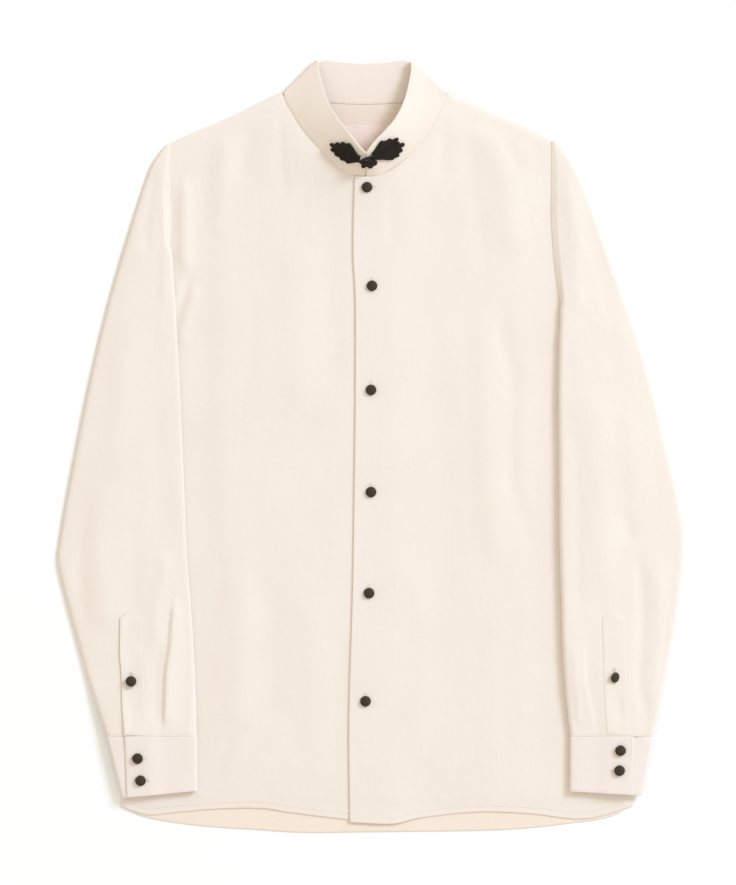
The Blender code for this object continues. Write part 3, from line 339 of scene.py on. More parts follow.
UNDER_SLEEVE_FOLDS = [
    ([(-198, 256), (-198, 225), (-198, 196), (-197, 176)], 3.5, 4, -0.75),
    ([(-187.5, 270), (-188.5, 225), (-188.5, 190), (-184, 170)], 4, 8, 2.1),
    ([(-182, 172), (-186, 154), (-194, 134), (-193, 118)], 2, 3, -0.8),
    ([(-192, 162), (-197, 142), (-203, 120)], 3, 4, 1.5),
    ([(-177, 162), (-182, 142), (-189, 120), (-190, 96)], 3, 8, 1.7),
    ([(176, 262), (176, 190), (178, 120)], 5, 4, -0.35),
]

# %% [markdown]
# ## Curves, soft steps and heights
#
# Each front is a height over the floor: where it is pressed by a sleeve it lies on the back, its side and its
# shoulder turn down to the floor, and between them it floats on its own stiffness. A formula suits this better
# than a simulation, because every fold then sits where the real one does. Slow sine waves of uneven length, drawn
# from a fixed seed, keep the parts between the folds from being glassy.


# %% Curve and height helpers
def smooth_curve(points, step):
    """Places about every step along a smooth curve through the points."""
    p = np.array(points, float)
    p = np.vstack([2 * p[0] - p[1], p, 2 * p[-1] - p[-2]])
    fine = []
    for a, b, c, d in zip(p, p[1:], p[2:], p[3:]):
        for t in np.linspace(0, 1, 12, endpoint=False):
            bend = (2 * a - 5 * b + 4 * c - d) * t * t + (3 * b - a - 3 * c + d) * t ** 3
            fine.append(0.5 * (2 * b + (c - a) * t + bend))
    fine.append(p[-2])
    fine = np.array(fine)
    length = np.concatenate([[0], np.cumsum(np.linalg.norm(np.diff(fine, axis=0), axis=1))])
    at = np.linspace(0, length[-1], max(2, round(length[-1] / step) + 1))
    return np.column_stack([np.interp(at, length, fine[:, k]) for k in range(fine.shape[1])])


def step_up(value):
    """A soft step from 0 to 1 as the value goes from 0 to 1."""
    v = np.clip(value, 0.0, 1.0)
    return v * v * (3 - 2 * v)


def near_route(x, y, route):
    """Distance of places from a route, the share of its length there, and whether they lie to the left of it."""
    best = np.full(np.shape(x), 1e9)
    share = np.zeros(np.shape(x))
    west = np.zeros(np.shape(x), bool)
    p = np.asarray(route, float)
    lengths = np.maximum(np.hypot(*np.diff(p, axis=0).T), 1e-9)
    before = 0.0
    for (x0, y0), (x1, y1), length in zip(p, p[1:], lengths):
        dx, dy = (x1 - x0) / length, (y1 - y0) / length
        t = np.clip((x - x0) * dx + (y - y0) * dy, 0, length)
        gap = np.hypot(x - x0 - dx * t, y - y0 - dy * t)
        near = gap < best
        best = np.where(near, gap, best)
        share = np.where(near, (before + t) / lengths.sum(), share)
        west = np.where(near, (x - x0) * dy - (y - y0) * dx > 0, west)
        before += length
    return best, share, west


def fold_height(x, y, folds):
    """What the folds add to the height. Routes run down the picture, and a fold fades towards both ends."""
    total = np.zeros(np.shape(x))
    for route, west_spread, east_spread, height in folds:
        gap, share, west = near_route(x, y, smooth_curve(route, 9.0))
        fade = step_up(np.minimum(share, 1 - share) / 0.18 + 0.15)
        spread = np.where(west, west_spread, east_spread)
        total = total + height * fade * np.exp(-(gap / spread) ** 2)
    return total


def unevenness(x, y, size, seed):
    """Slow waves of uneven length that run mostly down the cloth."""
    chance = np.random.default_rng(seed)
    total = np.zeros(np.shape(x))
    waves = 14
    for _ in range(waves):
        length = chance.uniform(24, 80)
        lean = chance.normal(0, 0.3)
        across = chance.uniform(90, 240)
        start, other = chance.uniform(0, 2 * math.pi, 2)
        wave = np.sin((x * math.cos(lean) + y * math.sin(lean)) * 2 * math.pi / length + start)
        total = total + wave * (0.6 + 0.4 * np.sin(y * 2 * math.pi / across + other))
    return size * total / math.sqrt(waves)


NECK_LINE = {side: smooth_curve(NECK_SEAM[side], 8.0) for side in (RIGHT, LEFT)}
RIM_LINES = [smooth_curve(SHOULDER[side], 12.0) for side in (RIGHT, LEFT)]
RIM_LINES += [smooth_curve(SIDE[side], 25.0) for side in (RIGHT, LEFT)]


def nearest_gap(x, y, lines):
    """Distance to the nearest of several lines."""
    return np.minimum.reduce([near_route(x, y, line)[0] for line in lines])


def front_height(x, y):
    """Middle of the right front's sheet."""
    x, y = np.asarray(x, float), np.asarray(y, float)
    rim = nearest_gap(x, y, RIM_LINES)
    turn = np.sin(np.clip(rim / RIM_RUN, 0, 1) * math.pi / 2)
    free = step_up((172 - abs(x)) / 30) * step_up((rim - RIM_RUN) / 25) * step_up((y + 374) / 60)
    loft = free * (FRONT_LOFT + fold_height(x, y, FRONT_FOLDS) + unevenness(x, y, 0.15, 5))
    pressed = step_up((rim - RIM_RUN) / 12) * fold_height(x, y, UNDER_SLEEVE_FOLDS)
    neck = nearest_gap(x, y, NECK_LINE.values())
    lift = np.interp(y, [269.0, 352.0], [4.6, 2.0]) * np.exp(-(neck / NECK_REACH) ** 2)
    tuck = NECK_DROP * (1 - step_up(neck / 2.5))
    hem = HEM_PRESS * turn * step_up((-350.0 - y) / 14)
    return RIM_START + (FRONT_REST - RIM_START) * turn + loft + pressed + lift - tuck - hem


def left_front_height(x, y):
    """Middle of the left front's sheet, which lies over the right front along the buttoned strip."""
    return front_height(x, y) + LAP * (1 - step_up((np.asarray(x) - STRIP_X) / STRIP_RUN))


print("height at the third button:", round(float(left_front_height(-0.5, 55.5)), 2), "mm")

# %% [markdown]
# ## Cutting a piece of cloth
#
# A tailor cuts a flat piece and sews its edges. We do the same: an outline is filled with an even net of points,
# closer along the edge, and a Delaunay triangulation joins them. Delaunay was chosen over a grid fill because it
# follows curved edges with no slivers. Each point is then lifted to its height, the flat place is kept as the UV
# map "cut", and Solidify gives the sheet its wall, thicker where a vertex group says that the cloth is doubled.
# A small bevel rounds the cut edge, as a pressed fold does.


# %% Cutting helpers
def inside(x, y, outline):
    """Whether places lie inside a closed outline."""
    crossings = np.zeros(np.shape(x), int)
    for (x0, y0), (x1, y1) in zip(outline, np.roll(outline, -1, axis=0)):
        if y0 != y1:
            reach = x0 + (y - y0) * (x1 - x0) / (y1 - y0)
            crossings += ((y0 > y) != (y1 > y)) & (x < reach)
    return crossings % 2 == 1


def spread_out(points, apart):
    """The points less those that crowd an earlier one, found through a coarse grid of cells."""
    kept = {}
    for p in points:
        cell = (int(p[0] // apart), int(p[1] // apart))
        around = [kept.get((cell[0] + i, cell[1] + j)) for i in (-1, 0, 1) for j in (-1, 0, 1)]
        if cell not in kept and all(q is None or np.hypot(*(q - p)) > apart * 0.8 for q in around):
            kept[cell] = p
    return np.array(list(kept.values())).reshape(-1, 2)


def shifted(points, distance):
    """A line moved sideways, to the left of the way it runs."""
    p = np.array(points, float)
    ahead = np.gradient(p, axis=0)
    normal = np.column_stack([-ahead[:, 1], ahead[:, 0]])
    return p + normal / np.linalg.norm(normal, axis=1)[:, None] * distance


def join_outline(*stretches):
    """One closed outline from stretches that end where the next begins."""
    points = []
    for stretch in stretches:
        for p in stretch:
            if not points or np.hypot(p[0] - points[-1][0], p[1] - points[-1][1]) > 0.5:
                points.append((float(p[0]), float(p[1])))
    if np.hypot(points[0][0] - points[-1][0], points[0][1] - points[-1][1]) < 0.5:
        points.pop()
    return np.array(points)


def fill_outline(outline, spacing, rims, lines=()):
    """Flat places and triangles of a cut piece, with extra rows inside its edge and along given lines."""
    closed = np.vstack([outline, outline[:1]])
    turned = np.sum(outline[:, 0] * np.roll(outline[:, 1], -1) - np.roll(outline[:, 0], -1) * outline[:, 1])
    rows = [shifted(closed, np.sign(turned) * rim) for rim in rims] + [smooth_curve(line, 2.5) for line in lines]
    extra = spread_out(np.vstack(rows), spacing * 0.45) if rows else np.zeros((0, 2))
    gap = near_route(extra[:, 0], extra[:, 1], closed)[0]
    extra = extra[inside(extra[:, 0], extra[:, 1], outline) & (gap > min(rims, default=spacing) * 0.9)]
    low, high = outline.min(axis=0), outline.max(axis=0)
    net = []
    for row, y in enumerate(np.arange(low[1], high[1], spacing * 0.87)):
        xs = np.arange(low[0] + (row % 2) * spacing / 2, high[0], spacing)
        net.append(np.column_stack([xs, np.full(len(xs), y)]))
    net = np.vstack(net)
    gap = near_route(net[:, 0], net[:, 1], closed)[0]
    clear = inside(net[:, 0], net[:, 1], outline) & (gap > max(rims, default=0) + spacing * 0.45)
    for line in lines:
        clear &= near_route(net[:, 0], net[:, 1], smooth_curve(line, 10.0))[0] > spacing * 0.5
    spots = [Vector(p) for p in np.vstack([outline, extra, net[clear]])]
    cut = delaunay_2d_cdt(spots, [], [list(range(len(outline)))], 1, 1e-5)
    return np.array([(p.x, p.y) for p in cut[0]]), [list(face) for face in cut[2]]


def flatten_modifiers(thing, sharp=55):
    """Turns a piece with modifiers into a plain mesh, with its hard edges marked."""
    done = bpy.data.meshes.new_from_object(thing.evaluated_get(bpy.context.evaluated_depsgraph_get()))
    thing.modifiers.clear()
    old = thing.data
    thing.data = done
    done.name = thing.name
    if isinstance(old, bpy.types.Mesh):
        bpy.data.meshes.remove(old)
    done.shade_smooth()
    done.set_sharp_from_angle(angle=math.radians(sharp))
    return thing


def cloth_piece(name, places, faces, cut, finish, doubled=None, wall=CLOTH, thick=DOUBLED):
    """A sheet of cloth from places and flat pattern places in millimetres. Cut is by vertex or by corner."""
    mesh = bpy.data.meshes.new(name)
    mesh.from_pydata((np.asarray(places, float) * MM).tolist(), [], faces)
    corners = np.concatenate([np.asarray(face) for face in faces])
    flat = np.asarray(cut, float) * MM
    layer = mesh.uv_layers.new(name="cut")
    layer.data.foreach_set("uv", (flat if len(flat) == len(corners) and len(flat) != len(places)
                                  else flat[corners]).ravel())
    mesh.materials.append(finish)
    piece = bpy.data.objects.new(name, mesh)
    bpy.context.scene.collection.objects.link(piece)
    solid = piece.modifiers.new("wall", "SOLIDIFY")
    solid.thickness = thick * MM
    solid.offset = 0
    solid.use_even_offset = False
    group = piece.vertex_groups.new(name="doubled")
    weights = np.zeros(len(places)) if doubled is None else np.asarray(doubled, float)
    for index in np.nonzero(weights > 0.01)[0]:
        group.add([int(index)], float(weights[index]), "REPLACE")
    solid.vertex_group = "doubled"
    solid.thickness_vertex_group = wall / thick
    edge = piece.modifiers.new("pressed_edge", "BEVEL")
    edge.width = wall * 0.3 * MM
    edge.segments = 2
    edge.limit_method = "ANGLE"
    edge.angle_limit = math.radians(60)
    flatten_modifiers(piece)
    size = (flat.max(axis=0) - flat.min(axis=0)).round(3)
    print(name, "faces", len(piece.data.polygons), "cut", size.tolist(), "m")
    return piece


# %% [markdown]
# ## Back and fronts
#
# The back lies flat on the table, and only its hem and the inside of its neck show. The right front runs under
# the left one; the left front ends in a folded strip that carries the buttonholes. Both hems are turned twice and
# sewn, so the sheet is thicker for seven millimetres. Their edges follow the solids' outlines exactly.

# %% Back
pieces_of_cloth = {}
BACK_HEIGHT = 0.6
NECK_RISE = 0.35          # the seam to the collar lifts the back's neck edge
NET = 4.6
RIMS = (1.5, 3.1, 4.8, 6.4)
HEM_SHARE = 0.33          # a pressed hem keeps this much of the doubled thickness


def back_outline():
    """The back's edge, a little inside the turned rims of the fronts."""
    right_side = smooth_curve(SIDE[RIGHT], 12.0)[1:-1] + (BACK_INSET, 0)
    left_side = smooth_curve(SIDE[LEFT], 12.0)[1:-1] - (BACK_INSET, 0)
    right_shoulder = shifted(smooth_curve(SHOULDER[RIGHT], 12.0), BACK_INSET)[1:-1]
    left_shoulder = shifted(smooth_curve(SHOULDER[LEFT], 12.0), -BACK_INSET)[1:-1]
    holes = {side: smooth_curve(ARMHOLE[side], 10.0)[1:-1] for side in (RIGHT, LEFT)}
    holes = {side: p[(p[:, 1] < 295) & (abs(p[:, 0]) < 240)] for side, p in holes.items()}
    neck = smooth_curve(BACK_NECK, 6.0)
    neck = neck[(neck[:, 0] > -82) & (neck[:, 0] < 69)]
    hem = smooth_curve(BACK_HEM, 6.0)[2:-2]
    return join_outline(neck, left_shoulder, holes[LEFT], left_side, hem[::-1], right_side[::-1],
                        holes[RIGHT][::-1], right_shoulder[::-1])


def hem_band(x, y, hem):
    """1 within the turned hem, 0 above it."""
    return 1 - step_up((near_route(x, y, smooth_curve(hem, 8.0))[0] - HEM + 1) / 1.5)


flat, faces = fill_outline(back_outline(), 13.0, RIMS)
hem_waves = unevenness(flat[:, 0], flat[:, 1], 0.10, 9) * step_up((-330 - flat[:, 1]) / 30)
neck_rise = NECK_RISE * step_up((flat[:, 1] - 330) / 8)
places = np.column_stack([flat, BACK_HEIGHT + abs(hem_waves) + neck_rise])
pieces_of_cloth["back_panel"] = cloth_piece(
    "back_cloth", places, faces, flat, inside_finish, hem_band(flat[:, 0], flat[:, 1], BACK_HEM) * HEM_SHARE)


# %% Fronts
def make_front(side):
    """One front, from its neck round the shoulder, armhole, side and hem to its own front edge."""
    neck = shifted(smooth_curve(NECK_SEAM[side], 4.0), -side * NECK_TUCK)
    around = [smooth_curve(table[side], 4.2) for table in (SHOULDER, ARMHOLE, SIDE, FRONT_HEM)]
    if side == RIGHT:
        edge = [(UNDERLAP_X, y) for y in np.arange(-370, 262, 5.0)] + [(UNDERLAP_X, 271.0)]
        outline = join_outline([(6.0, 267.0)], neck, *around, edge)
        height = front_height
        lines = []
    else:
        outline = join_outline(neck, *around, smooth_curve(LEFT_EDGE, 4.2))
        height = left_front_height
        lines = [[(x, -370.0), (x, 0.0), (x, 266.0)] for x in (STRIP_X - 1, STRIP_X + 1, STRIP_X + 4)]
    flat, faces = fill_outline(outline, NET, RIMS, lines)
    x, y = flat.T
    doubled = hem_band(x, y, FRONT_HEM[side]) * HEM_SHARE
    if side == LEFT:
        doubled = np.maximum(doubled, 1 - step_up((x - STRIP_X + 10) / 30))
    places = np.column_stack([flat, height(x, y)])
    piece = cloth_piece(f"front_{WORD[side]}_cloth", places, faces, flat, crepe_finish, doubled)
    pieces_of_cloth[f"front_{WORD[side]}"] = piece


for side in (RIGHT, LEFT):
    make_front(side)

# %% [markdown]
# ## The band collar
#
# The collar is one fused strip. It stands up at the throat, turns over at each shoulder and lies flat behind, so
# no single flat outline can hold it. A loft between two rails does: one rail is its seam to the body and the other
# its free edge. Both have the same stations, and a smooth curve adds rows between them. A slight crown across
# the strip shows that it is stiff.

# %% Collar
COLLAR_WALL = 1.5
COLLAR_EDGE = {
    RIGHT: [(-5.7, 291.5, 26.5), (-13.0, 299.5, 26.5), (-22.5, 311.5, 25.0), (-31.5, 323.0, 22.5),
            (-39.0, 335.0, 19.5), (-45.5, 349.0, 16.0), (-50.5, 366.0, 12.5), (-52.8, 377.0, 10.0)],
    LEFT: [(-5.3, 291.5, 26.5), (2.0, 302.0, 26.5), (13.0, 313.5, 25.0), (22.0, 324.0, 22.5),
           (29.0, 336.0, 19.5), (34.0, 349.0, 16.0), (38.0, 366.0, 12.5), (39.5, 377.0, 10.0)],
}
COLLAR_TURN = {
    RIGHT: {"seam": (-86.8, 351.0), "seam_radius": 1.75, "edge": (-51.8, 382.3), "edge_radius": 4.0},
    LEFT: {"seam": (74.0, 351.0), "seam_radius": 1.75, "edge": (38.3, 382.3), "edge_radius": 4.0},
}
COLLAR_BACK = [(-71.5, 346.6, -44.5, 385.2), (-41.5, 342.6, -29.0, 383.2), (-6.5, 341.1, -7.0, 381.9),
               (28.5, 342.6, 16.0, 383.2), (58.5, 346.6, 31.5, 385.2)]
COLLAR_FLOOR = 1.0


def collar_stations():
    """Seam place and free-edge place, from the right end round the back to the left end."""
    fronts = []
    for side in (RIGHT, LEFT):
        row = []
        for (x, y), edge in zip(NECK_SEAM[side], COLLAR_EDGE[side]):
            lap = LAP if side == LEFT and x < STRIP_X else 0
            x += 0.25 * RIGHT * side if abs(x) < 6 else 0
            row.append(((x, y, float(front_height(x, y)) + lap), edge))
        turn = COLLAR_TURN[side]
        for angle in (75, 40, 0, -40, -75):
            lean, rise = math.cos(math.radians(angle)), math.sin(math.radians(angle))
            ends = []
            for end in ("seam", "edge"):
                (x, y), radius = turn[end], turn[end + "_radius"]
                ends.append((x + side * 0.75 * radius * lean, y + 0.66 * radius * lean,
                             COLLAR_FLOOR + radius * (1 + rise)))
            row.append(tuple(ends))
        fronts.append(row)
    back = [((a, b, COLLAR_FLOOR), (c, d, COLLAR_FLOOR)) for a, b, c, d in COLLAR_BACK]
    return fronts[0] + back + fronts[1][::-1]


def refine(points, parts):
    """A smooth curve with the same number of parts between each two points."""
    p = np.array(points, float)
    p = np.vstack([2 * p[0] - p[1], p, 2 * p[-1] - p[-2]])
    fine = []
    for a, b, c, d in zip(p, p[1:], p[2:], p[3:]):
        for t in np.arange(parts) / parts:
            bend = (2 * a - 5 * b + 4 * c - d) * t * t + (3 * b - a - 3 * c + d) * t ** 3
            fine.append(0.5 * (2 * b + (c - a) * t + bend))
    return np.array(fine + [p[-2]])


def grid_faces(rows, columns):
    """Quads between neighbouring rows of points."""
    faces = []
    for row in range(rows - 1):
        for k in range(columns - 1):
            a = row * columns + k
            faces.append([a, a + 1, a + columns + 1, a + columns])
    return faces


stations = collar_stations()
seam_rail = refine([seam for seam, edge in stations], 7)
edge_rail = refine([edge for seam, edge in stations], 7)
levels = np.linspace(0, 1, 15)
around = np.concatenate([[0], np.cumsum(np.linalg.norm(np.diff(seam_rail + edge_rail, axis=0) / 2, axis=1))])
rows = []
cut = []
for seam, edge, along in zip(seam_rail, edge_rail, around):
    crown = 1.6 * np.sin(math.pi * levels) * min(1.0, max(0.0, (edge[2] - 9.5) / 8))
    rows.append(seam + (edge - seam) * levels[:, None] + crown[:, None] * (0, 0, 1))
    cut.append(np.column_stack([np.full(len(levels), along), levels * np.linalg.norm(edge - seam)]))
collar_places = np.array(rows)
faces = grid_faces(len(rows), len(levels))
pieces_of_cloth["collar"] = cloth_piece(
    "collar_cloth", collar_places.reshape(-1, 3), faces, np.vstack(cut), collar_finish, None, COLLAR_WALL,
    COLLAR_WALL + 0.1)

# %% [markdown]
# ## Sleeves
#
# A sleeve is a flattened tube. From the shoulder down it hangs over its own armhole seam, so it has an upper
# layer, a rounded outer edge, a lower layer on the floor, and a hidden flap that comes back over the front. Rows
# across it, one every few millimetres, are lofted downwards. Its pleats at the cuff and the long soft folds above
# the elbow are the same kind of rows as on the fronts.

# %% Sleeve sizes
SLEEVE_LOW = 3.45
SEAM_LOW = 2.9            # where the sleeve's edge lies on the armhole seam
SEAM_WALL = 0.30          # and how thin it is pressed there
CUFF_LOW = 4.25
CUFF_HIGH = 8.65
CUFF_OVER = 11.05
OVER_LEVEL = 10.15        # the cuff's end that laps over the other, and how far it does
CUFF_OVERLAP = 24.0
LAP_OUT = {RIGHT: 246.3, LEFT: 262.0}
LAP_FADE = {RIGHT: 3.0, LEFT: 13.0}
MOUTH_HIGH = 8.75         # the sleeve's two layers where they meet the cuff
MOUTH_LOW = 4.3
MOUTH_RISE = 1.3          # the sleeve rises to the cuff's lap under the placket
SLEEVE_BEND = {RIGHT: 6.5, LEFT: 4.0}
SLEEVE_END_Y = -290.55
UNDERARM_Y = 64.0
UNDERARM_RUN = 14.0
FOLD_RUN = 15.0
FOLD_START_Y = {RIGHT: 207.0, LEFT: 150.0}
UNDERARM_OUT = {RIGHT: 257.5, LEFT: 257.0}
SLEEVE = {
    RIGHT: [(301.6, 202.9, 201.4), (299.0, 205.8, 201.5), (293.0, 210.5, 202.6), (280.0, 219.0, 203.6), (258.0, 227.5, 203.0),
            (215.0, 241.0, 201.0), (145.0, 261.5, 196.5), (73.0, 279.0, 192.5), (5.0, 293.0, 189.5),
            (-55.0, 304.5, 187.0), (-95.0, 311.0, 185.5), (-115.0, 313.0, 184.5), (-146.0, 306.5, 182.0),
            (-195.0, 293.5, 178.5), (-245.0, 279.5, 176.2), (-290.0, 264.0, 175.0)],
    LEFT: [(304.8, 183.4, 181.9), (302.5, 186.0, 181.6), (294.5, 191.5, 181.5), (280.5, 202.0, 181.5), (250.5, 215.0, 181.6),
           (219.5, 226.5, 182.0), (138.5, 255.5, 188.6), (100.5, 268.5, 187.6), (45.5, 283.5, 186.8),
           (-9.5, 296.5, 187.4), (-61.5, 308.5, 187.8), (-94.5, 313.0, 188.0), (-144.5, 308.5, 189.5),
           (-194.5, 300.5, 190.8), (-245.5, 291.5, 194.0), (-290.0, 281.5, 198.8)],
}
SLEEVE_HEIGHT = {
    RIGHT: [(302.0, 3.5, 3.1), (280.0, 3.7, 3.6), (215.0, 4.0, 3.9), (190.0, 4.45, 3.8), (150.0, 4.5, 3.6),
            (90.0, 4.6, 3.6), (50.0, 4.9, 3.7), (0.0, 4.6, 3.7), (-200.0, 4.7, 3.9), (-250.0, 6.2, 6.0),
            (-282.0, 8.4, 8.2),
            (-288.0, MOUTH_HIGH, MOUTH_HIGH), (-294.0, MOUTH_HIGH, MOUTH_HIGH)],
    LEFT: [(305.0, 3.7, 3.3), (280.0, 4.0, 4.0), (215.0, 4.8, 5.0), (170.0, 6.2, 5.2), (130.0, 8.6, 5.2),
           (70.0, 10.0, 5.2), (-200.0, 10.4, 5.4), (-250.0, 9.8, 6.8), (-282.0, 8.8, 8.4),
           (-288.0, MOUTH_HIGH, MOUTH_HIGH), (-294.0, MOUTH_HIGH, MOUTH_HIGH)],
}
SLEEVE_FOLDS = {
    RIGHT: [
        ([(-216, 276), (-224, 232), (-226, 190)], 8, 6, -1.0),
        ([(-206, 258), (-205, 200), (-207, 138)], 6, 6, 0.9),
        ([(-218, 138), (-218, 60), (-214, -20), (-206, -110)], 12, 12, -0.8),
        ([(-244, 150), (-250, 60), (-252, -20), (-250, -90)], 13, 13, 0.8),
        ([(-268, -30), (-272, -110), (-264, -190)], 14, 14, 1.4),
        ([(-286, -60), (-292, -130), (-284, -190)], 7, 8, -0.5),
        ([(-240, -70), (-238, -130), (-236, -180)], 9, 9, -0.6),
        ([(-204, -104), (-214, -160), (-216, -215)], 8, 8, 1.0),
        ([(-197, -150), (-199, -171), (-201.4, -204), (-204.9, -225), (-205.7, -249), (-207.5, -288)], 1.1, 10, 2.3),
        ([(-212, -190), (-213, -230), (-215, -286)], 7, 5, -0.6),
        ([(-228, -200), (-226, -240), (-226, -286)], 6, 6, 0.6),
    ],
    LEFT: [
        ([(196, 268), (204, 200), (206, 130)], 9, 9, 1.0),
        ([(214, 236), (228, 180), (240, 120)], 9, 9, -0.5),
        ([(252, -66), (256, -84), (260, -98)], 8, 8, -0.9),
        ([(265, -104), (270, -150), (270, -195), (268, -240), (277, -276)], 6, 7, -1.2),
        ([(226, 60), (230, -60), (232, -160)], 15, 15, 1.2),
        ([(204, 20), (206, -80), (206, -180)], 7, 7, -0.5),
        ([(254, 40), (262, -20), (266, -60)], 10, 10, 0.6),
        ([(286, -120), (287, -190), (284, -250)], 7, 7, 0.7),
        ([(211, -195), (212, -211), (212.7, -235), (216.1, -252), (219.5, -268), (224, -288)], 12, 1.6, 0.7),
        ([(230, -215), (232, -250), (238, -286)], 7, 8, 0.6),
        ([(246, -250), (250, -286)], 5, 5, -0.5),
        ([(200, -200), (203, -240), (208, -284)], 4, 5, 0.6),
    ],
}
COLUMNS = 56
BEND_TURNS = np.radians([-60, -30, 0, 30, 60])


# %% Sleeve helpers
def reader(rows, column):
    """A function that reads one column of a table, smoothly, at heights y."""
    fine = smooth_curve(rows, 2.0)
    return lambda y: np.interp(-np.asarray(y, float), -fine[:, 0], fine[:, column])


SLEEVE_OUTER = {side: reader(SLEEVE[side], 1) for side in (RIGHT, LEFT)}
SLEEVE_INNER = {side: reader(SLEEVE[side], 2) for side in (RIGHT, LEFT)}
HIGH_INNER = {side: reader(SLEEVE_HEIGHT[side], 1) for side in (RIGHT, LEFT)}
HIGH_OUTER = {side: reader(SLEEVE_HEIGHT[side], 2) for side in (RIGHT, LEFT)}


def line_out(points, step):
    """How far a line of the body lies from the middle, at heights y."""
    fine = smooth_curve(points, step)
    return lambda y: np.interp(-np.asarray(y, float), -fine[:, 1], abs(fine[:, 0]))


HOLE_OUT = {side: line_out(ARMHOLE[side], 4.0) for side in (RIGHT, LEFT)}
SIDE_OUT = {side: line_out(SIDE[side], 10.0) for side in (RIGHT, LEFT)}


def sleeve_top(side, out, y):
    """Middle height of a sleeve's upper layer."""
    out, y = np.asarray(out, float), np.asarray(y, float)
    outer, inner = SLEEVE_OUTER[side](y), SLEEVE_INNER[side](y)
    share = (out - inner) / np.maximum(1.0, outer - inner)
    low, high = HIGH_INNER[side](y), HIGH_OUTER[side](y)
    room = step_up((outer - inner) / 40) * step_up((y + 290) / 60)
    dome = 1.1 * room * 4 * share * (1 - share)
    x = side * out
    folds = fold_height(x, y, SLEEVE_FOLDS[side]) + unevenness(x, y, 0.2, 11 + side) * room
    folds = folds * step_up(share / 0.12) * step_up((1 - share) / 0.12)
    over_lap = step_up((out - LAP_OUT[side] + CUFF_OVERLAP + 13) / 12) * step_up((LAP_OUT[side] + LAP_FADE[side] - out) / LAP_FADE[side])
    rise = MOUTH_RISE * over_lap * step_up((-262 - y) / 26)
    return low + (high - low) * share + dome + folds * step_up((y + 292) / 25) + rise


def blend(a, b, share):
    """A place between two places."""
    return tuple(p + (q - p) * share for p, q in zip(a, b))


def sleeve_row(side, y):
    """One row of a sleeve as (out, z) places: hidden flap, inner edge, upper layer, outer edge, lower layer."""
    outer, inner = float(SLEEVE_OUTER[side](y)), float(SLEEVE_INNER[side](y))
    hole, body = float(HOLE_OUT[side](y)), float(SIDE_OUT[side](y))
    bend = min(SLEEVE_BEND[side], 0.22 * (outer - inner))
    drop = float(step_up((-240 - y) / 46))
    floor = CLOTH / 2 + 0.2 + (MOUTH_LOW - CLOTH / 2 - 0.2) * drop
    laid = SLEEVE_LOW + (MOUTH_LOW - SLEEVE_LOW) * drop
    closed = y <= UNDERARM_Y
    if closed:
        laid += 0.45 * float(step_up((y - 10) / 30))
    outs = np.linspace(inner + bend, outer - bend, COLUMNS)
    upper = list(zip(outs, sleeve_top(side, outs, y)))
    folded = min(1.0, max(0.0, (FOLD_START_Y[side] - y) / FOLD_RUN))
    start = (hole - 1.7, SEAM_LOW)
    rise = (upper[0][1] - laid) / 2
    edge_inner = []
    for turn, part in zip(BEND_TURNS, (0.0, 0.17, 0.39, 0.61, 0.83)):
        round_place = (inner + bend * (1 - math.cos(turn)), laid + rise + rise * math.sin(turn))
        edge_inner.append(blend(blend(start, upper[0], part), round_place, folded))
    rise = (upper[-1][1] - floor) / 2
    edge_outer = [(outer - bend * (1 - math.cos(turn)), floor + rise + rise * math.sin(turn))
                  for turn in BEND_TURNS[::-1]]
    flap = []
    if closed:
        down = min(1.0, (UNDERARM_Y - y) / UNDERARM_RUN)
        underarm = UNDERARM_OUT[side]
        foot = min(body + 13.0, outer - bend - 3)
        ramp = (body + 1.6, max(floor, float(np.interp(y, [10, 50], [2.45, 3.6]))))
        join = blend((underarm, 3.3), (body - 5.5, laid), down)
        ramp = blend(((foot + underarm) / 2, 2.0), ramp, down)
        middle = body - 5.5 + ((inner + join[0]) / 2 - body + 5.5) * down
        lower = [(outer - bend, floor), ((outer - bend + foot) / 2, floor), (foot, floor), ramp, join]
        flap = [join, (middle, laid), (inner + bend, laid)]
    else:
        lower = [(out, floor) for out in np.linspace(outer - bend, hole + SEAM_GAP, 5)]
        if folded == 1.0:
            first = hole - 1.7
            last = inner + bend if first - inner > 3 * bend else inner + (first - inner) * 0.33
            flap = [(first, laid), ((first + last) / 2, laid), (last, laid)]
    return flap, edge_inner + upper + edge_outer + lower, closed


# %% Sleeves
ROW_STEP = 3.6


